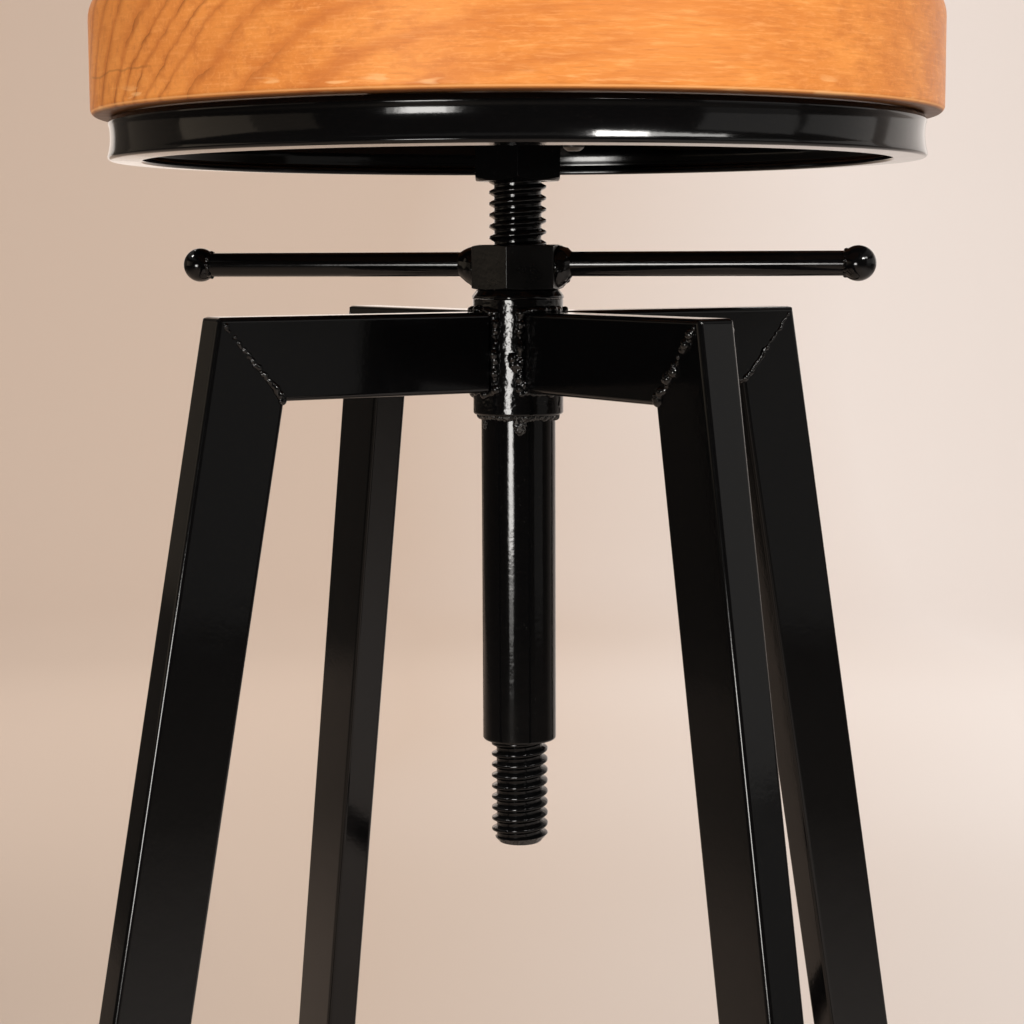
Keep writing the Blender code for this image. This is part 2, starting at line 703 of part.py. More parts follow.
def make_screw_drill(parent):
    """Cutter for the four screw holes through the cross bars and into the wood."""
    low = CROSS_BAR_BOTTOM - CROSS_BAR_THICKNESS - parent.location.z
    high = CROSS_BAR_BOTTOM + WOOD_SCREW_LENGTH + 2 * FIT - parent.location.z
    radius = bore_radius(WOOD_SCREW_DIAMETER / 2, FIT, TINY_SEGMENTS)
    drill = bmesh.new()
    for place in wood_screw_places().values():
        bmesh.ops.create_cone(
            drill,
            cap_ends=True,
            segments=TINY_SEGMENTS,
            radius1=radius,
            radius2=radius,
            depth=high - low,
            matrix=Matrix.Translation(place + UP * ((high + low) / 2)),
        )
    return make_cutter(finish_mesh("screw_drill", drill, None, parent))


def make_flat_bar(name, x_range, y_range, parent, drill):
    """Flat steel bar between two X and two Y limits."""
    low = CROSS_BAR_BOTTOM - parent.location.z
    size = Vector((x_range[1] - x_range[0], y_range[1] - y_range[0], CROSS_BAR_THICKNESS))
    middle = Vector((sum(x_range) / 2, sum(y_range) / 2, low + CROSS_BAR_THICKNESS / 2))
    mesh_data = bmesh.new()
    placed = Matrix.Translation(middle) @ Matrix.Diagonal((*size, 1.0))
    bmesh.ops.create_cube(mesh_data, size=1.0, matrix=placed)
    bar = finish_mesh(name, mesh_data, paint(name), parent)
    add_boolean(bar, drill, "DIFFERENCE")
    return bar


def make_cross_bars(parent, drill):
    """One bar right across the ring and two half bars welded to its sides."""
    half_width = CROSS_BAR_WIDTH / 2
    room = clear_radius(RING_DIAMETER / 2 - RING_WALL, ROUND_SEGMENTS) - FIT
    reach = math.sqrt(room**2 - half_width**2)
    inner = half_width + FIT
    across = (-half_width, half_width)
    make_flat_bar("seat_cross_bar", (-reach, reach), across, parent, drill)
    make_flat_bar("seat_cross_bar_front", across, (-reach, -inner), parent, drill)
    make_flat_bar("seat_cross_bar_back", across, (inner, reach), parent, drill)


def make_wood_screw(name, place, parent):
    """Pan-head wood screw, driven up through a cross bar into the seat."""
    seat = CROSS_BAR_BOTTOM - FIT - parent.location.z
    tip = CROSS_BAR_BOTTOM + WOOD_SCREW_LENGTH - parent.location.z
    shank = WOOD_SCREW_DIAMETER / 2
    head = WOOD_SCREW_HEAD / 2
    low = seat - WOOD_SCREW_HEAD_HEIGHT
    profile = [
        (0.0, tip),
        (shank, tip - WOOD_SCREW_POINT),
        (shank, seat),
        (head, seat),
        (head, seat - WOOD_SCREW_HEAD_RIM),
        (WOOD_SCREW_HEAD_FLAT / 2, low),
        (0.0, low),
    ]
    surface = material(name, ZINC, ZINC_ROUGHNESS, 1.0)
    return finish_mesh(name, turned(profile, TINY_SEGMENTS, False), surface, parent, place)


def make_seat_top(parent, drill):
    low = SEAT_BOTTOM - parent.location.z
    high = SEAT_TOP - parent.location.z
    outer = SEAT_DIAMETER / 2
    profile = [(0.0, high)]
    profile += arc((outer - SEAT_TOP_ROUND, high - SEAT_TOP_ROUND), SEAT_TOP_ROUND, 90, 0)
    bottom_centre = (outer - SEAT_BOTTOM_ROUND, low + SEAT_BOTTOM_ROUND)
    profile += arc(bottom_centre, SEAT_BOTTOM_ROUND, 0, -90, SHOULDER_SEGMENTS)
    profile += [(0.0, low)]
    surface = material("seat_top", STAINED_WOOD, WOOD_ROUGHNESS, 0.0)
    seat = finish_mesh("seat_top", turned(profile, ROUND_SEGMENTS, False), surface, parent)
    add_boolean(seat, drill, "DIFFERENCE")
    return seat


def make_frame():
    parent = empty("frame_base", 0.0)
    make_hub(parent)
    make_sleeve(parent)
    make_sleeve_weld(parent)
    make_footrest(parent)
    for corner, angle in CORNERS.items():
        make_arm("arm_" + corner, angle, parent)
        make_leg("leg_" + corner, angle, parent)
        make_hub_weld("hub_weld_" + corner, angle, parent)
        make_mitre_weld("mitre_weld_" + corner, angle, parent)
        make_footrest_weld("footrest_weld_upper_" + corner, angle, True, parent)
        make_footrest_weld("footrest_weld_lower_" + corner, angle, False, parent)
        make_foot_cap("foot_cap_" + corner, angle, parent)


def make_lock():
    parent = empty("lock_spindle", LOCK_NUT_BOTTOM)
    make_washer(
        "lock_washer",
        LOCK_WASHER_BOTTOM,
        LOCK_WASHER_DIAMETER,
        LOCK_WASHER_THICKNESS,
        LOCK_WASHER_ROUND,
        parent,
    )
    make_nut("lock_nut", LOCK_NUT_BOTTOM, LOCK_NUT_HEIGHT, LOCK_NUT_TURN, RUNNING_FIT, parent)
    for name, side in (("left", -1.0), ("right", 1.0)):
        make_lock_bar("lock_bar_" + name, side, parent)
        make_lock_ball("lock_ball_" + name, side, parent)
        make_lock_weld("lock_weld_" + name, side, parent)


def make_seat():
    parent = empty("seat_spindle", SEAT_NUT_BOTTOM)
    drill = make_screw_drill(parent)
    make_lift_screw(parent)
    make_nut("seat_nut", SEAT_NUT_BOTTOM, SEAT_NUT_HEIGHT, SEAT_NUT_TURN, FIT, parent)
    make_washer(
        "seat_washer",
        SEAT_WASHER_BOTTOM,
        SEAT_WASHER_DIAMETER,
        SEAT_WASHER_THICKNESS,
        SEAT_WASHER_ROUND,
        parent,
    )
    make_cross_bars(parent, drill)
    make_seat_ring(parent)
    make_seat_top(parent, drill)
    for name, place in wood_screw_places().items():
        make_wood_screw("seat_screw_" + name, place, parent)


def main():
    clear_scene()
    make_frame()
    make_lock()
    make_seat()


main()
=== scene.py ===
"""Looks of the swivel bar stool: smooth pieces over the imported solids, materials and a plain studio.

Units are metres, +Z is up, and the floor is at z = 0 under the middle of the stool.
"""

import random
from math import asin, ceil, cos, inf, pi, radians, sin, sqrt, tan

import bmesh
import bpy
from mathutils import Matrix, Vector, noise


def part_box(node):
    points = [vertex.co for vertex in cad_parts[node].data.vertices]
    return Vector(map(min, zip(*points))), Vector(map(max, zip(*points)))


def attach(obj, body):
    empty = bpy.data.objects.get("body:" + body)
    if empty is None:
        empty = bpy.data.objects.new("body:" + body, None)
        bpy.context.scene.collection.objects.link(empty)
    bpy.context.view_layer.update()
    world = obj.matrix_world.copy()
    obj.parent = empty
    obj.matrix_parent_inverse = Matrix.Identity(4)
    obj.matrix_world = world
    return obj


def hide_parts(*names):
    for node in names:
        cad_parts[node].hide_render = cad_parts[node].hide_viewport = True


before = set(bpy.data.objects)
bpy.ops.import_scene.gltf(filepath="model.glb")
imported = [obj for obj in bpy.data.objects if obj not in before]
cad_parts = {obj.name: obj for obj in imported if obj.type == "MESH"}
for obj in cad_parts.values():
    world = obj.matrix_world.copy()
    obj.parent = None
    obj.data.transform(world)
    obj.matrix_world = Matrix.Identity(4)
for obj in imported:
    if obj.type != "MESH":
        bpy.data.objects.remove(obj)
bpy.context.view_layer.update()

UP = Vector((0.0, 0.0, 1.0))

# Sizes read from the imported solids
SEAT_LOW, SEAT_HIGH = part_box("seat_top")
RING_LOW, RING_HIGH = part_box("seat_ring")
ARM_LOW, ARM_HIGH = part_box("arm_front_left")
HUB_LOW, HUB_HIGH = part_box("hub")
SLEEVE_LOW, SLEEVE_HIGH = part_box("sleeve")
SCREW_LOW, SCREW_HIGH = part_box("lift_screw")
LOCK_NUT_LOW, LOCK_NUT_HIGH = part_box("lock_nut")
LOCK_WASHER_LOW, LOCK_WASHER_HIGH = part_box("lock_washer")
BAR_LOW, BAR_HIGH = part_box("lock_bar_right")
BALL_LOW, BALL_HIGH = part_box("lock_ball_right")
FOOTREST_LOW, FOOTREST_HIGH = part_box("footrest_ring")

# Frame
FRAME_HEIGHT = ARM_HIGH.z
TUBE_DEPTH = ARM_HIGH.z - ARM_LOW.z
TUBE_WIDTH = 0.0140
TUBE_WALL = 0.0015
TUBE_CORNER = 0.0018
TUBE_INNER_CORNER = 0.0004
ARM_REACH = 0.1198
LEG_SPLAY = radians(10.3)
LEG_END = 0.0053
MITRE_ROUND = 0.0022
CORNERS = {
    "front_left": radians(225.0),
    "front_right": radians(315.0),
    "back_right": radians(45.0),
    "back_left": radians(135.0),
}
HUB_RADIUS = HUB_HIGH.x
HUB_TOP = LOCK_WASHER_LOW.z - 0.0001
HUB_TOP_ROUND = 0.0003
HUB_BOTTOM_ROUND = 0.0009
SLEEVE_RADIUS = SLEEVE_HIGH.x + 0.0003
SLEEVE_WALL = 0.0024
SLEEVE_END = SLEEVE_LOW.z - 0.0022
SLEEVE_END_ROUND = 0.0010
SLEEVE_BORE_ROUND = 0.0005
FOOTREST_ROD = FOOTREST_HIGH.z - FOOTREST_LOW.z
FOOTREST_RADIUS = FOOTREST_HIGH.x - FOOTREST_ROD / 2
FOOTREST_HEIGHT = (FOOTREST_HIGH.z + FOOTREST_LOW.z) / 2
FULL_ROUND = 0.4999

# Gap or overlap of frame pieces that meet
SEAM = 0.0002

# Screw and nuts
SCREW_RADIUS = SCREW_HIGH.x
SCREW_PITCH = 0.004
SCREW_CREST = SCREW_RADIUS + 0.0003
SCREW_DEPTH = 0.0018
SCREW_CHAMFER = 0.0027
SCREW_CHAMFER_SLOPE = 0.9
SCREW_ROUGH_END = 0.0020
BORE_RADIUS = SCREW_RADIUS + 0.0005
NUT_FLATS = LOCK_NUT_HIGH.x - LOCK_NUT_LOW.x
NUT_CORNER = 0.0005
NUT_CHAMFER_INSET = 0.0006
NUT_EDGE = 0.00025
NUT_EDGE_ANGLE = radians(24.0)
NUT_FLAT_PARTS = 10
LOCK_NUT_TURN = radians(30.0)
LOCK_NUT_CHAMFER = radians(12.0)
SEAT_NUT_TURN = radians(-76.0)
SEAT_NUT_CHAMFER = radians(26.0)
SEAT_NUT_TRIM = 0.0006

# Washers
SPACER_TOP_ROUND = 0.0004
SPACER_BOTTOM_ROUND = 0.0003
DOME_RAISE = 0.00026
DOME_INSET = 0.0016
DOME_HEIGHT = 0.0020
DOME_TOP_ROUND = 0.0009
DOME_RIM_ROUND = 0.0014
DOME_BOTTOM_ROUND = 0.0002
DOME_RIM_FROM = BORE_RADIUS + 0.001
DOME_DENT = 0.0006
DOME_DENT_SCALE = 420.0

# Lock handle
BAR_RADIUS = (BAR_HIGH.z - BAR_LOW.z) / 2
BAR_HEIGHT = (BAR_HIGH.z + BAR_LOW.z) / 2
BAR_GAP = 0.0003
BALL_RADIUS = (BALL_HIGH.z - BALL_LOW.z) / 2
BALL_CENTRE = BALL_HIGH.x - BALL_RADIUS + 0.0011
BALL_SEAM_STEP = 0.0004
BALL_SEAM_SPREAD = 0.0001
BALL_SEAM_BEAD = 0.0007
ROOT_SINK = 0.0004
ROOT_TIP_INSET = 0.0003
ROOT_CURVE = 1.7
ROOT_STEPS = 7
ROOT_SEGMENTS = 32
ROOT_DROPS = 22
ROOT_VOXEL = 0.0004

# Each side's direction along X, its root weld's length, and the seeds of its ball seam and root weld
HANDLE_SIDES = {
    "left": (-1.0, 0.0071, 32, 52),
    "right": (1.0, 0.0057, 31, 51),
}

# Seat
SEAT_TRIM = 0.0005
SEAT_TOP_ROUND = 0.0125
SEAT_BOTTOM_ROUND = 0.0025
SEAT_RIM_SHARE = 0.9
SEAT_DENT = 0.00022
SEAT_DENT_SCALE = 45.0
DENT_ABOVE = 0.35
RING_WALL = 0.0026
RING_LIP = 0.012
RING_LIP_DROP = 0.0004
RING_LIP_ROUND = 0.0009
RING_HOLLOW = 0.022
RING_HOLLOW_HEIGHT = 0.0080
RING_FLARE = 100.0
RING_FLARE_HEIGHT = 0.0108
RING_SPREAD = 0.0005
RING_TOP_ROUND = 0.0024
RING_BOTTOM_ROUND = 0.0013
RING_INNER_ROUND = 0.0012
FLAT_BAR_ROUND = 0.0005

# Wood screws
HEAD_HEIGHT = 0.0026
HEAD_EDGE = 0.0014
HEAD_FLAT_SHARE = 0.6
HEAD_TOP_ROUND = 0.0012
HEAD_EDGE_ROUND = 0.0006
SHANK_RADIUS = 0.002
SHANK_TIP = 0.006
RECESS_LENGTH = 0.0044
RECESS_WIDTH = 0.0009
RECESS_HEIGHT = 0.0032

# Weld beads; voxel is the fineness of a bead's skin
BEAD_VOXEL = 0.0003
MITRE_SEED = 11
MITRE_START = 0.004
MITRE_SPACING = 1.1
MITRE_JITTER = 0.4
HUB_SEED = 21
HUB_BEAD = 0.0016
HUB_BEAD_SPACING = 0.0021
HUB_BEAD_MARGIN = 0.0010
SLEEVE_SEED = 71
SLEEVE_BEAD = 0.0014
SLEEVE_BEAD_SPREAD = 0.0003
SLEEVE_VOXEL = 0.00032
FOOTREST_SEED = 90
FOOTREST_BEAD = 0.0016
FOOTREST_BEAD_SPACING = 0.0011
FOOTREST_BEAD_MARGIN = 0.001
FOOTREST_VOXEL = 0.00035

# Radius of the bead at each mitred corner, and how far its end stays back from the inner corner
MITRE_BEADS = {
    "front_left": (0.0011, 0.0009),
    "front_right": (0.0018, 0.0026),
    "back_right": (0.0010, 0.0009),
    "back_left": (0.0011, 0.0009),
}

# Drops that ran from the hub beads: direction in degrees, height, and radius
HUB_DROPS = {
    "front_right": (
        (-83.0, 0.5838, 0.0022),
        (-82.0, 0.5815, 0.0020),
        (-78.0, 0.5820, 0.0019),
        (-74.0, 0.5812, 0.0018),
        (-80.0, 0.5798, 0.0013),
        (-69.0, 0.5746, 0.0021),
        (-72.5, 0.5732, 0.0015),
    ),
    "front_left": (
        (-117.0, 0.5990, 0.0018),
        (-113.0, 0.5972, 0.0013),
        (-111.0, 0.5760, 0.0012),
    ),
}

# Drips of the weld under the hub: direction in degrees, how far down, and radius
SLEEVE_DRIPS = (
    (-78.0, 0.0014, 0.0014),
    (-72.0, 0.0012, 0.0015),
    (-80.0, 0.0030, 0.0014),
    (-75.0, 0.0034, 0.0017),
    (-69.0, 0.0028, 0.0014),
    (-77.0, 0.0048, 0.0014),
    (-71.0, 0.0050, 0.0015),
    (-74.0, 0.0058, 0.0012),
    (-139.0, 0.0012, 0.0012),
    (-137.0, 0.0026, 0.0012),
    (-138.0, 0.0040, 0.0010),
    (40.0, 0.0015, 0.0014),
    (43.0, 0.0030, 0.0011),
    (133.0, 0.0018, 0.0013),
)

# Fineness of the meshes
SMOOTH_ANGLE = radians(34.0)
SEAT_SEGMENTS = 288
ROUND_SEGMENTS = 96
ROD_SEGMENTS = 28
THREAD_SEGMENTS = 48
ARC_STEPS = 6
SEAT_ARC_STEPS = 12
BAND_STEPS = 12


def polar(radius, angle, height):
    return Vector((radius * cos(angle), radius * sin(angle), height))


def new_object(name, data):
    made = bpy.data.objects.new(name, data)
    bpy.context.scene.collection.objects.link(made)
    return made


def dress(piece, surface):
    """Give a piece its material, and smooth shading with sharp edges kept."""
    piece.data.materials.clear()
    piece.data.materials.append(surface)
    piece.data.shade_smooth()
    piece.data.set_sharp_from_angle(angle=SMOOTH_ANGLE)
    even = piece.modifiers.new("even shading", "WEIGHTED_NORMAL")
    even.keep_sharp = True


def add_piece(name, shape, surface, body, cad_node):
    """Make a shape or mesh a piece that rides on a body and stands for its CAD node."""
    mesh = to_mesh(name, shape) if isinstance(shape, bmesh.types.BMesh) else shape
    piece = new_object(name, mesh)
    dress(piece, surface)
    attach(piece, body)
    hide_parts(cad_node)
    return piece


def to_mesh(name, shape):
    bmesh.ops.recalc_face_normals(shape, faces=shape.faces)
    mesh = bpy.data.meshes.new(name)
    shape.to_mesh(mesh)
    shape.free()
    return mesh


def with_modifiers(name, shape, settings):
    """The mesh that a row of modifiers makes of a shape; settings are (kind, values) pairs."""
    helper = new_object(name, to_mesh(name, shape))
    for kind, values in settings:
        modifier = helper.modifiers.new(kind.lower(), kind)
        for key, value in values.items():
            setattr(modifier, key, value)
    evaluated = helper.evaluated_get(bpy.context.evaluated_depsgraph_get())
    made = bpy.data.meshes.new_from_object(evaluated)
    bpy.data.objects.remove(helper, do_unlink=True)
    made.name = name
    return made


def rounded_path(corners, steps=ARC_STEPS):
    """Points along straight runs; each corner is (x, y, rounding)."""
    points = []
    count = len(corners)
    for index, (x, y, rounding) in enumerate(corners):
        here = Vector((x, y))
        if rounding == 0.0:
            points.append(here)
            continue
        before = (Vector(corners[index - 1][:2]) - here).normalized()
        after = (Vector(corners[(index + 1) % count][:2]) - here).normalized()
        half = before.angle(after) / 2
        centre = here + (before + after).normalized() * (rounding / sin(half))
        start = here + before * (rounding / tan(half)) - centre
        turn = pi - 2 * half
        if before.x * after.y - before.y * after.x > 0.0:
            turn = -turn
        for step in range(steps + 1):
            points.append(centre + Matrix.Rotation(turn * step / steps, 2) @ start)
    return points


def skin(shape, loops):
    """Faces between following loops, which close to a ring unless the first loop is a tip of one vertex."""
    pairs = list(zip(loops, loops[1:]))
    if len(loops[0]) > 1:
        pairs.append((loops[-1], loops[0]))
    for first, second in pairs:
        count = max(len(first), len(second))
        for index in range(count):
            following = (index + 1) % count
            corners = [
                first[index % len(first)],
                first[following % len(first)],
                second[following % len(second)],
                second[index % len(second)],
            ]
            shape.faces.new(list(dict.fromkeys(corners)))


def lathe(profile, segments):
    """Skin of revolution about Z through (radius, height) points, open where it starts on the axis."""
    shape = bmesh.new()
    loops = []
    for radius, height in profile:
        if radius == 0.0:
            loops.append([shape.verts.new((0.0, 0.0, height))])
            continue
        turns = [2 * pi * step / segments for step in range(segments)]
        loops.append([shape.verts.new(polar(radius, turn, height)) for turn in turns])
    skin(shape, loops)
    return shape


def turned_ring(corners):
    """Ring of revolution with rounded corners."""
    return lathe(rounded_path(corners), ROUND_SEGMENTS)


def rounded_rectangle(depth, width, corner):
    """Outline points (depth direction, width direction), anticlockwise."""
    signs = ((1, -1), (1, 1), (-1, 1), (-1, -1))
    return rounded_path([(depth / 2 * x, width / 2 * y, corner) for x, y in signs])


def dent_rim(shape, start, scale, depth, full_below=inf):
    """Push the parts beyond a radius in unevenly, less deeply above a height."""
    for vert in shape.verts:
        outward = Vector((vert.co.x, vert.co.y, 0.0))
        if outward.length > start:
            share = 1.0 if vert.co.z < full_below else DENT_ABOVE
            dent = noise.noise(vert.co * scale) * depth * share
            vert.co -= outward.normalized() * abs(dent)


def walk(line, spacing):
    """Points at even steps along a line of straight runs."""
    lengths = [(b - a).length for a, b in zip(line, line[1:])]
    count = max(2, round(sum(lengths) / spacing))
    walked = []
    for step in range(count + 1):
        left = sum(lengths) * step / count
        index = 0
        while index < len(lengths) - 1 and left > lengths[index]:
            left -= lengths[index]
            index += 1
        walked.append(line[index].lerp(line[index + 1], min(left / lengths[index], 1.0)))
    return walked


def fused_drops(name, drops, voxel=BEAD_VOXEL, extra=None):
    """One lumpy skin round overlapping drops, each (place, radius), and round an extra mesh."""
    shape = extra or bmesh.new()
    for place, radius in drops:
        spot = Matrix.Translation(place)
        bmesh.ops.create_icosphere(shape, subdivisions=2, radius=radius, matrix=spot)
    remesh = ("REMESH", {"mode": "VOXEL", "voxel_size": voxel})
    smooth = ("SMOOTH", {"factor": 0.5, "iterations": 3})
    return with_modifiers(name, shape, [remesh, smooth])


def bead_drops(path, radius, seed, jitter, spread):
    """Drops along a weld's path; jitter shifts them and spread makes their sizes uneven."""
    draw = random.Random(seed)
    drops = []
    for place in path:
        shift = Vector([draw.uniform(-jitter, jitter) for _ in range(3)])
        drops.append((place + shift, radius * (1.0 + draw.uniform(-spread, spread))))
    return drops


# Shader nodes


def new_material(name):
    """A material, its shader, and the output that gives a place on the object."""
    made = bpy.data.materials.new(name)
    made.use_nodes = True
    nodes = made.node_tree.nodes
    return made, nodes["Principled BSDF"], nodes.new("ShaderNodeTexCoord").outputs["Object"]


def feed(socket, value):
    """Give an input another node's output, or a plain value or colour."""
    if isinstance(value, bpy.types.NodeSocket):
        socket.id_data.links.new(value, socket)
    elif socket.type == "RGBA":
        socket.default_value = (*value, 1.0)
    else:
        socket.default_value = value


def node(kind, inputs, **settings):
    """Add a shader node beside the ones that feed it."""
    feeders = [value for value in inputs.values() if isinstance(value, bpy.types.NodeSocket)]
    made = feeders[0].id_data.nodes.new(kind)
    for key, value in settings.items():
        setattr(made, key, value)
    for key, value in inputs.items():
        feed(made.inputs[key], value)
    return made


def math_node(operation, *values):
    return node("ShaderNodeMath", dict(enumerate(values)), operation=operation).outputs[0]


def times(first, second):
    return math_node("MULTIPLY", first, second)


def minus(first, second):
    return math_node("SUBTRACT", first, second)


def vector_node(operation, first, second):
    return node("ShaderNodeVectorMath", {0: first, 1: second}, operation=operation).outputs[0]


def length_of(vector):
    return node("ShaderNodeVectorMath", {0: vector}, operation="LENGTH").outputs["Value"]


def parts_of(vector):
    return node("ShaderNodeSeparateXYZ", {"Vector": vector}).outputs


def turned(place, angle):
    inputs = {"Vector": place, "Angle": angle}
    return node("ShaderNodeVectorRotate", inputs, rotation_type="Z_AXIS").outputs["Vector"]


def noise_node(place, scale, detail=2.0, roughness=0.5, output="Fac"):
    """Noise over a place; three scales stretch it along the axes."""
    if isinstance(scale, tuple):
        place = vector_node("MULTIPLY", place, scale)
        scale = 1.0
    inputs = {"Vector": place, "Scale": scale, "Detail": detail, "Roughness": roughness}
    return node("ShaderNodeTexNoise", inputs).outputs[output]


def ramp(value, low, high, to_low, to_high):
    """Map a range of values to another, with the ends held."""
    inputs = dict(enumerate((value, low, high, to_low, to_high)))
    return node("ShaderNodeMapRange", inputs).outputs["Result"]


def mix(factor, first, second):
    return node("ShaderNodeMix", {0: factor, 6: first, 7: second}, data_type="RGBA").outputs[2]


def finish_surface(shader, colour, roughness, relief, strength):
    """Give the shader its colour, roughness and fine relief."""
    bump = node("ShaderNodeBump", {"Strength": strength, "Distance": RELIEF_DEPTH, "Height": relief})
    feed(shader.inputs["Base Color"], colour)
    feed(shader.inputs["Roughness"], roughness)
    feed(shader.inputs["Normal"], bump.outputs["Normal"])


# Materials

RELIEF_DEPTH = 0.0001
PAINT_BLACK = (0.0022, 0.0022, 0.0024)
PAINT_DUST = (0.10, 0.095, 0.088)
# Pale weld specks: partly bare metal, partly painted glints
WELD_GLINT_SPECK = (0.55, 0.54, 0.52)
SPECK_EDGE = 0.08
PLASTIC_BLACK = (0.016, 0.016, 0.017)
PLASTIC_SCUFF = (0.05, 0.05, 0.05)
ZINC_BRIGHT = (0.120, 0.115, 0.108)
ZINC_DULL = (0.060, 0.057, 0.054)

# Wood grain of the seat: two boards, each with its rings round a pith outside the seat
GRAIN_DIRECTION = radians(31.8)
BOARD_JOINT = 0.040
PITH_ACROSS = -0.242
BACK_PITH_SHIFT = 0.14
PITH_HEIGHT = 0.500
GROWTH_SPACING = 0.0058
OUTER_GROWTH_FROM = 0.272
OUTER_GROWTH_SLOWED = 0.55
INNER_GROWTH_WITHIN = 0.246
INNER_GROWTH_SLOWED = 0.55
GROWTH_WARPS = (
    ((6.0, 14.0, 14.0), 0.012),
    ((40.0, 90.0, 90.0), 0.0040),
    ((220.0, 500.0, 500.0), 0.0014),
)
LINES_FADE = (-0.118, -0.066)
JOINT_FADE = (-0.035, -0.005)
LEFT_FADE = (-0.09, -0.015)

# Rim of the seat: where it begins, the painted highlight along its lower edge, pale chips that are partly
# painted glints, and one split at the left
RIM_FADE = (SEAT_HIGH.x - 0.005, SEAT_HIGH.x - 0.0015)
EDGE_HIGHLIGHT_HEIGHT = 0.0012
CHIPS_AND_GLINTS_FADE = (0.003, 0.007)
SPLIT_HEIGHT = 0.0113
SPLIT_WANDER = 0.004
SPLIT_TURN = radians(-80.0)
SPLIT_FADE = (0.17, 0.21)

# Colours of the wood material, with a painted highlight, partly painted glints and painted shade among them
WOOD_PALE = (0.84, 0.315, 0.070)
WOOD_DEEP = (0.67, 0.215, 0.042)
STREAK_BROWN = (0.55, 0.165, 0.036)
FIBRE_PALE = (0.92, 0.42, 0.135)
MARK_PALE = (0.98, 0.46, 0.155)
MARK_DARK = (0.55, 0.17, 0.036)
LATE_SHADE = (0.50, 0.135, 0.028)
LATE_LINE = (0.26, 0.07, 0.014)
# Painted highlight along the rim's lower edge
EDGE_HIGHLIGHT_PALE = (0.98, 0.52, 0.20)
# Pale chips: partly chipped stain, partly painted glints on small dents
CHIP_AND_GLINT_PALE = (0.98, 0.58, 0.26)
SPLIT_DARK = (0.16, 0.045, 0.012)
# Painted shade for the seat's underside
UNDERSIDE_PAINTED_SHADE = (0.050, 0.022, 0.010)


def make_paint(name, gloss, peel, dust_and_glints, specks_from=0.66, speck=PAINT_DUST, shine=0.3):
    """Black paint: gloss is its roughness, peel its unevenness, shine its reflection, and the amount after
    peel its specks: dust on most paints, and on welds pale specks that are partly bare metal and partly
    painted glints.
    """
    made, shader, place = new_material(name)
    # Specks: dust on most paints, and on welds pale specks that are partly painted glints
    specks = noise_node(place, 1500.0)
    specks = ramp(specks, specks_from, specks_from + SPECK_EDGE, 0.0, dust_and_glints)
    colour = mix(specks, PAINT_BLACK, speck)
    patches = noise_node(place, 55.0, 4.0, 0.6)
    roughness = ramp(patches, 0.3, 0.7, gloss * 0.8, gloss * 1.25)
    roughness = math_node("ADD", roughness, specks)
    orange_peel = noise_node(place, 620.0, 1.5)
    waves = noise_node(place, 95.0, 1.0)
    relief = math_node("ADD", orange_peel, times(waves, 3.0))
    finish_surface(shader, colour, roughness, relief, peel)
    feed(shader.inputs["Specular IOR Level"], shine)
    return made


def growth_rings(along, straight):
    """Thin late lines and soft shade of the growth rings, which waver a little round the pith."""
    bent = along
    for stretch, amount in GROWTH_WARPS:
        drift = noise_node(along, stretch, output="Color")
        centred = vector_node("SUBTRACT", drift, (0.5, 0.5, 0.5))
        shift = vector_node("MULTIPLY", centred, (amount, amount, amount))
        bent = vector_node("ADD", bent, shift)
    parts = parts_of(bent)
    back_board = math_node("GREATER_THAN", straight["Y"], BOARD_JOINT)
    pith_across = math_node("MULTIPLY_ADD", back_board, BACK_PITH_SHIFT, PITH_ACROSS)
    across = math_node("POWER", minus(parts["Y"], pith_across), 2.0)
    above = math_node("POWER", minus(parts["Z"], PITH_HEIGHT), 2.0)
    from_pith = math_node("SQRT", math_node("ADD", across, above))
    beyond = math_node("MAXIMUM", minus(from_pith, OUTER_GROWTH_FROM), 0.0)
    within = math_node("MAXIMUM", minus(INNER_GROWTH_WITHIN, from_pith), 0.0)
    counted = math_node("MULTIPLY_ADD", beyond, -OUTER_GROWTH_SLOWED, from_pith)
    counted = math_node("MULTIPLY_ADD", within, INNER_GROWTH_SLOWED, counted)
    years = math_node("DIVIDE", counted, GROWTH_SPACING)
    late_line = math_node("POWER", math_node("FRACT", years), 8.0)
    wave = math_node("COSINE", times(years, 2 * pi))
    late_shade = math_node("POWER", math_node("MULTIPLY_ADD", wave, 0.5, 0.5), 4.0)
    return late_line, late_shade


def sanding_marks(rim_place, sanded):
    """Pale and dark marks along the rim, as (share, colour) layers."""
    marks = noise_node(rim_place, (95.0, 950.0, 0.0), 3.0, 0.6)
    pale = times(ramp(marks, 0.54, 0.70, 0.0, 0.42), sanded)
    dark = times(ramp(marks, 0.46, 0.30, 0.0, 0.45), sanded)
    return [(pale, MARK_PALE), (dark, MARK_DARK)]


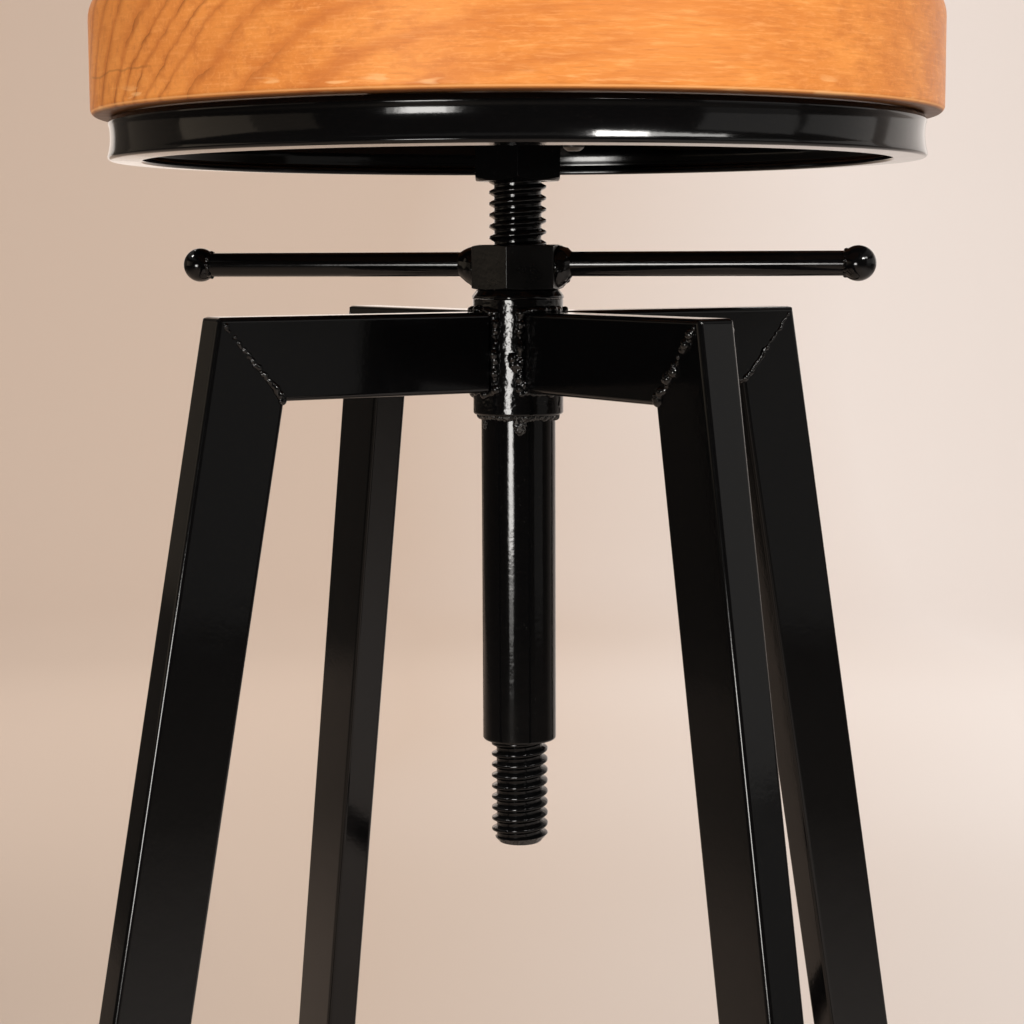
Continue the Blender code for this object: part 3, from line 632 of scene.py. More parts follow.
def rim_highlight_and_wear(place, rim_place, from_bottom, turn, on_rim):
    """Painted highlight along the rim's lower edge, pale chips above it that are partly painted glints on
    small dents, and a split, as (share, colour) layers.
    """
    # Painted highlight: a pale line along the rim's lower edge
    edge_highlight = math_node("ABSOLUTE", minus(from_bottom, EDGE_HIGHLIGHT_HEIGHT))
    edge_highlight = ramp(edge_highlight, 0.0001, 0.0004, 0.6, 0.0)
    # Pale chips, partly chipped stain and partly painted glints on small dents
    chips_and_glints = noise_node(rim_place, (60.0, 400.0, 0.0), 1.0)
    chips_and_glints = ramp(chips_and_glints, 0.63, 0.69, 0.0, 0.5)
    chips_and_glints = times(chips_and_glints, ramp(from_bottom, *CHIPS_AND_GLINTS_FADE, 1.0, 0.0))
    wander = times(noise_node(place, 70.0), SPLIT_WANDER)
    split = math_node("ADD", from_bottom, wander)
    split = math_node("ABSOLUTE", minus(split, SPLIT_HEIGHT + SPLIT_WANDER / 2))
    split = ramp(split, 0.00012, 0.0005, 0.3, 0.0)
    from_split = math_node("ABSOLUTE", minus(turn, SPLIT_TURN))
    split = times(split, ramp(from_split, *SPLIT_FADE, 1.0, 0.0))
    layers = ((edge_highlight, EDGE_HIGHLIGHT_PALE), (chips_and_glints, CHIP_AND_GLINT_PALE), (split, SPLIT_DARK))
    return [(times(share, on_rim), tone) for share, tone in layers]


def make_wood():
    """Stained pine: growth rings, fibres, a sanded rim with a painted highlight along its lower edge, pale
    chips that are partly painted glints and a split, painted shade on the underside, and a satin varnish.
    """
    made, shader, place = new_material("stained_pine")
    along = turned(place, -GRAIN_DIRECTION)
    straight = parts_of(along)

    late_line, late_shade = growth_rings(along, straight)
    breaks = ramp(noise_node(place, 90.0), 0.38, 0.6, 0.0, 1.0)
    lined = ramp(straight["Y"], *LINES_FADE, 0.04, 0.75)
    lined = times(lined, ramp(straight["Y"], *JOINT_FADE, 1.0, 0.35))
    lined = times(times(late_line, breaks), lined)
    left_end = ramp(straight["X"], *LEFT_FADE, 1.0, 0.25)
    blotches = noise_node(along, (12.0, 34.0, 34.0), 3.0)
    streaks = noise_node(along, (14.0, 230.0, 230.0), 3.0, 0.55)
    fibres = noise_node(along, (75.0, 1100.0, 1100.0), 4.0, 0.6)

    radius = length_of(vector_node("MULTIPLY", along, (1.0, 1.0, 0.0)))
    on_rim = ramp(radius, *RIM_FADE, 0.0, 1.0)
    sanded = times(on_rim, ramp(straight["Y"], *LINES_FADE, 1.0, 0.45))
    turn = math_node("ARCTAN2", straight["X"], times(straight["Y"], -1.0))
    rim_parts = {"X": times(turn, SEAT_HIGH.x), "Y": straight["Z"]}
    rim_place = node("ShaderNodeCombineXYZ", rim_parts).outputs["Vector"]
    from_bottom = minus(straight["Z"], SEAT_LOW.z)
    facing = parts_of(place.node.outputs["Normal"])["Z"]

    layers = [
        (ramp(streaks, 0.48, 0.72, 0.0, 0.55), STREAK_BROWN),
        (ramp(fibres, 0.5, 0.78, 0.0, 0.4), FIBRE_PALE),
        *sanding_marks(rim_place, sanded),
        (times(late_shade, times(left_end, 0.5)), LATE_SHADE),
        (times(lined, left_end), LATE_LINE),
        *rim_highlight_and_wear(place, rim_place, from_bottom, turn, on_rim),
        # Painted shade: the wood darker where it faces down
        (ramp(facing, -0.9, -0.6, 0.85, 0.0), UNDERSIDE_PAINTED_SHADE),
    ]
    blotched = ramp(blotches, 0.32, 0.68, 0.0, 1.0)
    colour = mix(blotched, WOOD_PALE, WOOD_DEEP)
    for share, tone in layers:
        colour = mix(share, colour, tone)
    roughness = ramp(fibres, 0.3, 0.7, 0.36, 0.52)
    relief = minus(fibres, times(late_line, 0.5))
    finish_surface(shader, colour, roughness, relief, 0.3)
    feed(shader.inputs["Specular IOR Level"], 0.2)
    return made


def make_plastic():
    """Matt moulded plastic with a fine grain and pale scuffs."""
    made, shader, place = new_material("matt_plastic")
    scuffs = noise_node(place, 140.0, 4.0, 0.65)
    scuffed = ramp(scuffs, 0.5, 0.75, 0.0, 0.5)
    colour = mix(scuffed, PLASTIC_BLACK, PLASTIC_SCUFF)
    roughness = ramp(scuffs, 0.3, 0.7, 0.5, 0.68)
    finish_surface(shader, colour, roughness, noise_node(place, 2600.0), 0.3)
    return made


def make_zinc():
    """Zinc plated steel with dull patches and a fine grain."""
    made, shader, place = new_material("zinc_plate")
    patches = noise_node(place, 300.0, 4.0, 0.6)
    colour = mix(patches, ZINC_BRIGHT, ZINC_DULL)
    roughness = ramp(patches, 0.3, 0.7, 0.28, 0.45)
    finish_surface(shader, colour, roughness, noise_node(place, 2400.0), 0.15)
    feed(shader.inputs["Metallic"], 1.0)
    return made


GLOSS_PAINT = make_paint("gloss_black_paint", gloss=0.09, peel=0.10, dust_and_glints=0.05)
FLOWED_PAINT = make_paint("flowed_black_paint", gloss=0.09, peel=0.55, dust_and_glints=0.05)
HUB_PAINT = make_paint("hub_black_paint", gloss=0.08, peel=1.00, dust_and_glints=0.12)
SLEEVE_PAINT = make_paint("sleeve_black_paint", gloss=0.09, peel=0.22, dust_and_glints=0.08)
THREAD_PAINT = make_paint("thread_black_paint", gloss=0.10, peel=1.00, dust_and_glints=0.15)
# Its pale specks are partly painted glints on the weld lumps
WELD_PAINT = make_paint("painted_weld", 0.06, 0.15, 0.4, specks_from=0.68, speck=WELD_GLINT_SPECK, shine=0.42)
SCALE_PAINT = make_paint("painted_weld_scale", gloss=0.16, peel=0.80, dust_and_glints=0.55, specks_from=0.5)
NUT_PAINT = make_paint("nut_black_paint", gloss=0.15, peel=0.50, dust_and_glints=0.06, shine=0.02)
SATIN_PAINT = make_paint("satin_black_paint", gloss=0.32, peel=0.90, dust_and_glints=0.12)
MATT_PAINT = make_paint("matt_black_paint", gloss=0.55, peel=0.60, dust_and_glints=0.06, shine=0.0)
WOOD = make_wood()
PLASTIC = make_plastic()
ZINC = make_zinc()


# Seat


def make_seat():
    """Round seat with small dents in its rim, deepest along the lower edge."""
    radius = SEAT_HIGH.x - SEAT_TRIM
    corners = [
        (0.0, SEAT_HIGH.z, 0.0),
        (radius, SEAT_HIGH.z, SEAT_TOP_ROUND),
        (radius, SEAT_LOW.z, SEAT_BOTTOM_ROUND),
        (0.0, SEAT_LOW.z, 0.0),
    ]
    shape = lathe(rounded_path(corners, SEAT_ARC_STEPS), SEAT_SEGMENTS)
    full_below = SEAT_LOW.z + SEAT_BOTTOM_ROUND
    dent_rim(shape, radius * SEAT_RIM_SHARE, SEAT_DENT_SCALE, SEAT_DENT, full_below)
    add_piece("wooden_seat", shape, WOOD, "seat", "seat_top")


def make_seat_ring():
    """Rolled ring: rounded top, hollow band that flares to it, tight bottom edge and a lip inside."""
    outer = RING_HIGH.x + RING_SPREAD
    lip = outer - RING_LIP
    lip_top = RING_LOW.z + RING_WALL
    band_top = RING_HIGH.z - RING_TOP_ROUND
    band_bottom = RING_LOW.z + RING_BOTTOM_ROUND
    middle = RING_LOW.z + RING_HOLLOW_HEIGHT
    wall_bottom = lip_top + RING_INNER_ROUND

    def bow(height):
        return (height - middle) ** 2 / (2 * RING_HOLLOW)

    waist = outer - bow(band_bottom)
    band = []
    inner_wall = []
    for step in range(BAND_STEPS + 1):
        height = band_top + (band_bottom - band_top) * step / BAND_STEPS
        flare = RING_FLARE * max(0.0, height - RING_LOW.z - RING_FLARE_HEIGHT) ** 2
        band.append(Vector((waist + bow(height) + flare, height)))
        height = wall_bottom + (RING_HIGH.z - wall_bottom) * step / BAND_STEPS
        inner_wall.append(Vector((waist + bow(height) - RING_WALL, height)))
    shoulder = band[0].x
    top_corners = [
        (inner_wall[-1].x, RING_HIGH.z, 0.0),
        (shoulder, RING_HIGH.z, RING_TOP_ROUND),
        (shoulder, band_bottom, 0.0),
    ]
    under_corners = [
        (outer, band_top, 0.0),
        (outer, RING_LOW.z, RING_BOTTOM_ROUND),
        (lip, RING_LOW.z - RING_LIP_DROP, RING_LIP_ROUND),
        (lip, lip_top - RING_LIP_DROP, RING_LIP_ROUND),
        (inner_wall[0].x, lip_top, RING_INNER_ROUND),
        (inner_wall[0].x, RING_HIGH.z, 0.0),
    ]
    profile = rounded_path(top_corners)[1:-2] + band + rounded_path(under_corners)[2:-2] + inner_wall
    add_piece("rolled_ring", lathe(profile, SEAT_SEGMENTS), GLOSS_PAINT, "seat", "seat_ring")


def make_washers():
    """Plain spacer under the cross bars, and a domed, uneven washer on the hub."""
    low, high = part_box("seat_washer")
    corners = [
        (BORE_RADIUS, high.z, 0.0),
        (high.x, high.z, SPACER_TOP_ROUND),
        (high.x, low.z, SPACER_BOTTOM_ROUND),
        (BORE_RADIUS, low.z, 0.0),
    ]
    add_piece("spacer_washer", turned_ring(corners), GLOSS_PAINT, "seat_carrier", "seat_washer")

    low, high = LOCK_WASHER_LOW, LOCK_WASHER_HIGH + UP * DOME_RAISE
    corners = [
        (BORE_RADIUS, high.z, 0.0),
        (high.x - DOME_INSET, high.z, DOME_TOP_ROUND),
        (high.x, high.z - DOME_HEIGHT, DOME_RIM_ROUND),
        (high.x, low.z, DOME_BOTTOM_ROUND),
        (BORE_RADIUS, low.z, 0.0),
    ]
    shape = turned_ring(corners)
    dent_rim(shape, DOME_RIM_FROM, DOME_DENT_SCALE, DOME_DENT)
    add_piece("domed_washer", shape, FLOWED_PAINT, "lock_carrier", "lock_washer")


def make_nut(name, cad_node, turn, chamfer, trim, surface, body):
    """Hex nut whose chamfered ends cut curved edges into the flats; trim is taken off below."""
    low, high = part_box(cad_node)
    low = low + UP * trim
    corner_radius = NUT_FLATS / sqrt(3.0)
    face_radius = NUT_FLATS / 2 - NUT_CHAMFER_INSET
    corners = []
    for index in range(6):
        spot = polar(corner_radius, turn + radians(60.0 * index), 0.0)
        corners.append((spot.x, spot.y, NUT_CORNER))
    outline = [Vector((x, y, 0.0)) for x, y in rounded_path(corners)]
    fine = []
    for start, end in zip(outline, outline[1:] + outline[:1]):
        parts = NUT_FLAT_PARTS if (end - start).length > NUT_CORNER else 1
        fine.extend(start.lerp(end, part / parts) for part in range(parts))
    shape = bmesh.new()

    def flat(radius, height):
        return [shape.verts.new(spot.normalized() * radius + UP * height) for spot in fine]

    def edge(height, slope):
        rises = [height + (spot.length - face_radius) * slope for spot in fine]
        return [shape.verts.new(spot + UP * rise) for spot, rise in zip(fine, rises)]

    loops = [
        flat(BORE_RADIUS, low.z),
        flat(face_radius, low.z),
        edge(low.z, tan(chamfer)),
        edge(high.z, -tan(chamfer)),
        flat(face_radius, high.z),
        flat(BORE_RADIUS, high.z),
    ]
    skin(shape, loops)
    limits = {"limit_method": "ANGLE", "angle_limit": NUT_EDGE_ANGLE}
    bevel = ("BEVEL", {"width": NUT_EDGE, "segments": 2, **limits})
    add_piece(name, with_modifiers(name, shape, [bevel]), surface, body, cad_node)


def make_lift_screw():
    """Right-hand thread with blunt crests and flat roots, cut off at both ends and chamfered below."""
    root = SCREW_CREST - SCREW_DEPTH
    # Share of pitch, radius
    tooth = [
        (0.00, root),
        (0.22, root),
        (0.29, root + 0.00015),
        (0.36, root + 0.0006),
        (0.46, SCREW_CREST - 0.0005),
        (0.51, SCREW_CREST - 0.00017),
        (0.56, SCREW_CREST - 0.00002),
        (0.61, SCREW_CREST),
        (0.66, SCREW_CREST - 0.000005),
        (0.70, SCREW_CREST - 0.00002),
        (0.72, SCREW_CREST - 0.00004),
        (0.76, SCREW_CREST - 0.00017),
        (0.81, SCREW_CREST - 0.0005),
        (0.90, root + 0.0006),
        (0.95, root + 0.00015),
    ]
    spare = 2 * SCREW_PITCH
    start = SCREW_LOW.z - spare
    turns = ceil((SCREW_HIGH.z - SCREW_LOW.z + 2 * spare) / SCREW_PITCH)
    shape = bmesh.new()
    rows = []
    for step in range(turns * THREAD_SEGMENTS + 1):
        angle = 2 * pi * step / THREAD_SEGMENTS
        rise = start + SCREW_PITCH * step / THREAD_SEGMENTS
        places = [polar(radius, angle, rise + share * SCREW_PITCH) for share, radius in tooth]
        rows.append([shape.verts.new(place) for place in places])
    for step, (here, following) in enumerate(zip(rows, rows[1:])):
        for index in range(len(tooth) - 1):
            shape.faces.new((here[index], following[index], following[index + 1], here[index + 1]))
        if step + THREAD_SEGMENTS + 1 < len(rows):
            above, above_following = rows[step + THREAD_SEGMENTS], rows[step + THREAD_SEGMENTS + 1]
            shape.faces.new((here[-1], following[-1], above_following[0], above[0]))
    for height, normal in ((SCREW_LOW.z, -UP), (SCREW_HIGH.z, UP)):
        everything = shape.verts[:] + shape.edges[:] + shape.faces[:]
        cut = {"plane_co": UP * height, "plane_no": normal, "clear_outer": True}
        bmesh.ops.bisect_plane(shape, geom=everything, **cut)
    rims = [edge for edge in shape.edges if edge.is_boundary]
    bmesh.ops.holes_fill(shape, edges=rims, sides=0)
    for vert in shape.verts:
        limit = SCREW_CREST - SCREW_CHAMFER + (vert.co.z - SCREW_LOW.z) * SCREW_CHAMFER_SLOPE
        across = Vector((vert.co.x, vert.co.y, 0.0))
        if across.length > limit:
            vert.co = across.normalized() * limit + UP * vert.co.z
    rod = add_piece("threaded_rod", shape, THREAD_PAINT, "seat", "lift_screw")
    rod.data.materials.append(SCALE_PAINT)
    for face in rod.data.polygons:
        if face.center.z < SCREW_LOW.z + SCREW_ROUGH_END:
            face.material_index = 1


def make_cross_bars():
    for cad_node in ("seat_cross_bar", "seat_cross_bar_front", "seat_cross_bar_back"):
        low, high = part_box(cad_node)
        shape = bmesh.new()
        place = Matrix.Translation((low + high) / 2) @ Matrix.Diagonal((*(high - low), 1.0))
        bmesh.ops.create_cube(shape, size=1.0, matrix=place)
        rounding = {"offset": FLAT_BAR_ROUND, "segments": 3, "profile": 0.5, "affect": "EDGES"}
        bmesh.ops.bevel(shape, geom=shape.edges[:], **rounding)
        name = cad_node.replace("seat_cross", "flat_cross")
        add_piece(name, shape, MATT_PAINT, "seat", cad_node)


def make_wood_screws():
    """Pan-head screws with a cross recess in the head."""
    for side in ("front", "back", "left", "right"):
        cad_node = "seat_screw_" + side
        low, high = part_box(cad_node)
        middle = (low + high) / 2
        head = (high.x - low.x) / 2
        shoulder = low.z + HEAD_HEIGHT
        corners = [
            (0.0, low.z, 0.0),
            (head * HEAD_FLAT_SHARE, low.z, HEAD_TOP_ROUND),
            (head, low.z + HEAD_EDGE, HEAD_EDGE_ROUND),
            (head, shoulder, 0.0),
            (SHANK_RADIUS, shoulder, 0.0),
            (SHANK_RADIUS, high.z - SHANK_TIP, 0.0),
            (0.0, high.z, 0.0),
        ]
        name = "pan_screw_" + side
        shape = lathe(rounded_path(corners), ROD_SEGMENTS)
        recess = bmesh.new()
        for size in ((RECESS_LENGTH, RECESS_WIDTH), (RECESS_WIDTH, RECESS_LENGTH)):
            spot = Matrix.Translation(UP * low.z) @ Matrix.Diagonal((*size, RECESS_HEIGHT, 1.0))
            bmesh.ops.create_cube(recess, size=1.0, matrix=spot)
        cutter = new_object(name + "_recess", to_mesh(name + "_recess", recess))
        exact = {"operation": "DIFFERENCE", "solver": "EXACT", "use_self": True}
        cut = ("BOOLEAN", {**exact, "object": cutter})
        mesh = with_modifiers(name, shape, [cut])
        bpy.data.objects.remove(cutter, do_unlink=True)
        mesh.transform(Matrix.Translation((middle.x, middle.y, 0.0)))
        add_piece(name, mesh, ZINC, "seat", cad_node)


# Lock handle


def lay_along_x(mesh, side):
    """Turn a mesh made along +Z to lie along X at the bars' height."""
    mesh.transform(Matrix.Translation(UP * BAR_HEIGHT) @ Matrix.Rotation(side * pi / 2, 4, "Y"))
    return mesh


def make_root_weld(name, side, length, seed):
    """Lumpy cone of weld from the nut's flat to the root of a bar."""
    nut_middle = (LOCK_NUT_LOW.z + LOCK_NUT_HIGH.z) / 2
    base = (LOCK_NUT_HIGH.z - LOCK_NUT_LOW.z) / 2 - ROOT_SINK
    start = NUT_FLATS / 2 - ROOT_SINK

    def spot(share, radius, angle):
        height = nut_middle + (BAR_HEIGHT - nut_middle) * share
        reach = side * (start + length * share)
        return Vector((reach, radius * cos(angle), height + radius * sin(angle)))

    cone = bmesh.new()
    loops = [[cone.verts.new(spot(0.0, 0.0, 0.0))]]
    turns = [2 * pi * turn / ROOT_SEGMENTS for turn in range(ROOT_SEGMENTS)]
    for step in range(ROOT_STEPS + 1):
        share = step / ROOT_STEPS
        radius = base + (BAR_RADIUS - ROOT_TIP_INSET - base) * share**ROOT_CURVE
        loops.append([cone.verts.new(spot(share, radius, angle)) for angle in turns])
    loops.append([cone.verts.new(spot(1.0, 0.0, 0.0))])
    skin(cone, loops)

    draw = random.Random(seed)
    drops = []
    for _ in range(ROOT_DROPS):
        share = draw.uniform(0.0, 0.7)
        angle = draw.uniform(0.0, 2 * pi)
        size = draw.uniform(0.0009, 0.0016) * (1.0 - 0.5 * share)
        radius = base + (BAR_RADIUS - base) * share**ROOT_CURVE - size * 0.8
        drops.append((spot(share, radius, angle), size))
    return fused_drops(name, drops, ROOT_VOXEL, cone)


def make_lock_handle():
    """Two bars, each with a ball welded to its end and a weld at its root."""
    start = NUT_FLATS / 2 + BAR_GAP
    end = BALL_CENTRE - BALL_RADIUS / 2
    seam = BALL_CENTRE - sqrt(BALL_RADIUS**2 - (BAR_RADIUS + BALL_SEAM_STEP) ** 2) - BALL_SEAM_STEP
    turns = [radians(angle) for angle in range(0, 360, 15)]
    seam_ring = [polar(BAR_RADIUS + BALL_SEAM_SPREAD, turn, seam) for turn in turns]
    for side_name, (side, weld_length, seam_seed, weld_seed) in HANDLE_SIDES.items():
        name = "handle_bar_" + side_name
        bar = lathe([(0.0, start), (BAR_RADIUS, start), (BAR_RADIUS, end), (0.0, end)], ROD_SEGMENTS)
        mesh = lay_along_x(to_mesh(name, bar), side)
        add_piece(name, mesh, GLOSS_PAINT, "lock_handle", "lock_bar_" + side_name)

        name = "handle_ball_" + side_name
        ball = bmesh.new()
        spot = Matrix.Translation(UP * BALL_CENTRE)
        bmesh.ops.create_icosphere(ball, subdivisions=4, radius=BALL_RADIUS, matrix=spot)
        drops = bead_drops(seam_ring, BALL_SEAM_BEAD, seam_seed, jitter=0.0002, spread=0.35)
        mesh = lay_along_x(fused_drops(name, drops, extra=ball), side)
        add_piece(name, mesh, GLOSS_PAINT, "lock_handle", "lock_ball_" + side_name)

        name = "handle_weld_" + side_name
        mesh = make_root_weld(name, side, weld_length, weld_seed)
        add_piece(name, mesh, FLOWED_PAINT, "lock_handle", "lock_weld_" + side_name)


# Frame


def corner_axes(angle):
    """Unit vectors of one corner: outward, sideways, down the leg, across it, and square to the mitre."""
    outward = polar(1.0, angle, 0.0)
    sideways = UP.cross(outward)
    down = outward * sin(LEG_SPLAY) - UP * cos(LEG_SPLAY)
    across = outward * cos(LEG_SPLAY) + UP * sin(LEG_SPLAY)
    square = (outward + down).normalized()
    return outward, sideways, down, across, square


def mitre_cuts(corner, inward, square):
    """Cuts that bend a tube's outer face round the mitre: (point, normal, drop), from the seam on."""
    turn = (pi / 2 - LEG_SPLAY) / 2
    reach = MITRE_ROUND * tan(turn)
    cuts = []
    for step in range(ARC_STEPS + 1):
        bend = turn * (1.0 - step / ARC_STEPS)
        drop = MITRE_ROUND * (1.0 - cos(bend))
        back = reach - MITRE_ROUND * sin(bend) - drop * tan(turn)
        cuts.append((corner + inward * back, square, drop))
    return cuts


def tube_shape(centre, along, depth_axis, width_axis, cuts):
    """Hollow tube through a row of cuts; a cut's drop holds the outer face back there."""
    outer = rounded_rectangle(TUBE_DEPTH, TUBE_WIDTH, TUBE_CORNER)
    inner = rounded_rectangle(TUBE_DEPTH - 2 * TUBE_WALL, TUBE_WIDTH - 2 * TUBE_WALL, TUBE_INNER_CORNER)
    shape = bmesh.new()
    loops = []
    for outline, row in ((outer, cuts), (inner, (cuts[-1], cuts[0]))):
        for point, normal, drop in row:
            loop = []
            for depth, width in outline:
                base = centre + depth_axis * min(depth, TUBE_DEPTH / 2 - drop) + width_axis * width
                distance = (point - base).dot(normal) / along.dot(normal)
                loop.append(shape.verts.new(base + along * distance))
            loops.append(loop)
    skin(shape, loops)
    return shape


def make_arm_and_leg(corner_name, angle):
    outward, sideways, down, across, square = corner_axes(angle)
    corner = outward * ARM_REACH + UP * FRAME_HEIGHT
    hub_cut = (outward * (HUB_RADIUS + SEAM), outward, 0.0)
    foot_cut = (UP * LEG_END, UP, 0.0)
    arm = ("arm", UP * (FRAME_HEIGHT - TUBE_DEPTH / 2), outward, UP, -outward, hub_cut)
    leg = ("leg", corner - across * (TUBE_DEPTH / 2), down, across, down, foot_cut)
    for kind, centre, along, depth_axis, inward, end_cut in (arm, leg):
        cuts = mitre_cuts(corner, inward, square) + [end_cut]
        tube = tube_shape(centre, along, depth_axis, sideways, cuts)
        add_piece(f"{kind}_tube_{corner_name}", tube, GLOSS_PAINT, "frame", f"{kind}_{corner_name}")


def make_mitre_bead(corner_name, angle, seed):
    """Lumpy bead on both sides of the mitre and in its inner corner, thicker towards the inside."""
    outward, sideways, down, _, _ = corner_axes(angle)
    size, inset = MITRE_BEADS[corner_name]
    corner = outward * ARM_REACH + UP * FRAME_HEIGHT
    inward = (down - outward).normalized()
    length = TUBE_DEPTH / -inward.dot(UP)
    side = sideways * (TUBE_WIDTH / 2 - SEAM)
    start = corner + inward * MITRE_START
    end = corner + inward * (length - inset)
    path = walk([start - side, end - side, end + side, start + side], size * MITRE_SPACING)
    drops = []
    for place, radius in bead_drops(path, size, seed, jitter=size * MITRE_JITTER, spread=0.4):
        depth = (place - corner).dot(inward) / length
        drops.append((place, radius * (0.75 + 0.45 * depth**2)))
    name = "mitre_bead_" + corner_name
    add_piece(name, fused_drops(name, drops), WELD_PAINT, "frame", "mitre_weld_" + corner_name)


def make_hub_bead(corner_name, angle, seed):
    """Lumpy bead round an arm's end, where it meets the hub, with the larger drops that ran from it."""
    radius = HUB_RADIUS + SEAM
    half_angle = asin((TUBE_WIDTH / 2 + HUB_BEAD_MARGIN) / radius)
    top = FRAME_HEIGHT + SEAM
    bottom = FRAME_HEIGHT - TUBE_DEPTH - SEAM
    turns = [half_angle * share for share in (-1.0, -0.5, 0.0, 0.5, 1.0)]
    path = [polar(radius, angle + turn, top) for turn in turns]
    path += [polar(radius, angle + turn, bottom) for turn in reversed(turns)]
    path = walk(path + path[:1], HUB_BEAD_SPACING)[:-1]
    drops = bead_drops(path, HUB_BEAD, seed, jitter=0.0005, spread=0.3)
    for direction, height, size in HUB_DROPS.get(corner_name, ()):
        drops.append((polar(HUB_RADIUS - SEAM, radians(direction), height), size))
    name = "hub_bead_" + corner_name
    add_piece(name, fused_drops(name, drops), WELD_PAINT, "frame", "hub_weld_" + corner_name)


def make_hub_and_sleeve():
    corners = [
        (BORE_RADIUS, HUB_TOP, HUB_TOP_ROUND),
        (HUB_RADIUS, HUB_TOP, HUB_TOP_ROUND),
        (HUB_RADIUS, HUB_LOW.z, HUB_BOTTOM_ROUND),
        (SLEEVE_RADIUS + SEAM, HUB_LOW.z, 0.0),
        (SLEEVE_RADIUS + SEAM, SLEEVE_HIGH.z, 0.0),
        (BORE_RADIUS, SLEEVE_HIGH.z, 0.0),
    ]
    add_piece("hub_tube", turned_ring(corners), HUB_PAINT, "frame", "hub")

    bore = SLEEVE_RADIUS - SLEEVE_WALL
    corners = [
        (bore, SLEEVE_HIGH.z - SEAM, 0.0),
        (SLEEVE_RADIUS, SLEEVE_HIGH.z - SEAM, 0.0),
        (SLEEVE_RADIUS, SLEEVE_END, SLEEVE_END_ROUND),
        (bore, SLEEVE_END, SLEEVE_BORE_ROUND),
    ]
    add_piece("guide_sleeve", turned_ring(corners), SLEEVE_PAINT, "frame", "sleeve")

    height = HUB_LOW.z - SEAM
    turns = [radians(angle) for angle in range(0, 360, 5)]
    ring = [polar(SLEEVE_RADIUS + SLEEVE_BEAD_SPREAD, turn, height) for turn in turns]
    drops = bead_drops(ring, SLEEVE_BEAD, SLEEVE_SEED, jitter=0.0004, spread=0.3)
    for angle, sink, radius in SLEEVE_DRIPS:
        drops.append((polar(SLEEVE_RADIUS, radians(angle), height - sink), radius))
    bead = fused_drops("sleeve_bead", drops, SLEEVE_VOXEL)
    add_piece("sleeve_bead", bead, SCALE_PAINT, "frame", "sleeve_weld")


def make_footrest():
    """Round rod bent to a ring, with a bead above and below it at each leg."""
    section = rounded_rectangle(FOOTREST_ROD, FOOTREST_ROD, FOOTREST_ROD * FULL_ROUND)
    profile = [(FOOTREST_RADIUS + depth, FOOTREST_HEIGHT + width) for depth, width in section]
    add_piece("footrest_rod", lathe(profile, SEAT_SEGMENTS), GLOSS_PAINT, "frame", "footrest_ring")
    seed = FOOTREST_SEED
    for corner_name, angle in CORNERS.items():
        _, sideways, _, _, _ = corner_axes(angle)
        half = sideways * (TUBE_WIDTH / 2 - FOOTREST_BEAD_MARGIN)
        for level in ("upper", "lower"):
            cad_node = f"footrest_weld_{level}_{corner_name}"
            low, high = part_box(cad_node)
            middle = (low + high) / 2
            path = walk([middle - half, middle + half], FOOTREST_BEAD_SPACING)
            drops = bead_drops(path, FOOTREST_BEAD, seed, jitter=0.0003, spread=0.3)
            name = f"footrest_bead_{level}_{corner_name}"
            add_piece(name, fused_drops(name, drops, FOOTREST_VOXEL), WELD_PAINT, "frame", cad_node)
            seed += 1


make_seat()
make_seat_ring()
make_washers()
make_nut("hex_nut_seat", "seat_nut", SEAT_NUT_TURN, SEAT_NUT_CHAMFER, SEAT_NUT_TRIM, NUT_PAINT, "seat")
make_nut("hex_nut_lock", "lock_nut", LOCK_NUT_TURN, LOCK_NUT_CHAMFER, 0.0, SATIN_PAINT, "lock_handle")
make_lift_screw()
make_cross_bars()
make_wood_screws()
make_lock_handle()
make_hub_and_sleeve()
for number, (corner_name, corner_angle) in enumerate(CORNERS.items()):
    make_arm_and_leg(corner_name, corner_angle)
    make_mitre_bead(corner_name, corner_angle, MITRE_SEED + number)
    make_hub_bead(corner_name, corner_angle, HUB_SEED + number)
make_footrest()
for corner_name in CORNERS:
    dress(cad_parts["foot_cap_" + corner_name], PLASTIC)


# Studio

CAMERA_PLACE = Vector((0.19116, -0.79087, 0.62102))
CAMERA_HEADING = radians(13.761)
CAMERA_PITCH = radians(6.565)
CAMERA_ROLL = radians(-0.232)
CAMERA_LENS = 79.351
SENSOR = 36.0
FLOOR_LEVEL = -0.0004
FLOOR_FLAT = 1.0
WALL_RADIUS = 4.6
WALL_HEIGHT = 3.2
WALL_CURVE = 1.4
WALL_CURVE_STEPS = 16
# Painted light: the paper tone grows lighter from left to right
PAPER_LEFT = (0.605, 0.485, 0.405)
PAPER_RIGHT = (0.81, 0.745, 0.715)
# Painted shade: dark paper tone for the unlit surroundings
PAPER_PAINTED_SHADE = (0.13, 0.113, 0.097)
SKY_COLOUR = (1.0, 0.95, 0.9, 1.0)
SKY_STRENGTH = 0.25
WARM_WHITE = (1.0, 0.97, 0.93)
AMBER_WHITE = (1.0, 0.82, 0.62)
LIGHT_AIM = Vector((0.0, 0.0, 0.58))

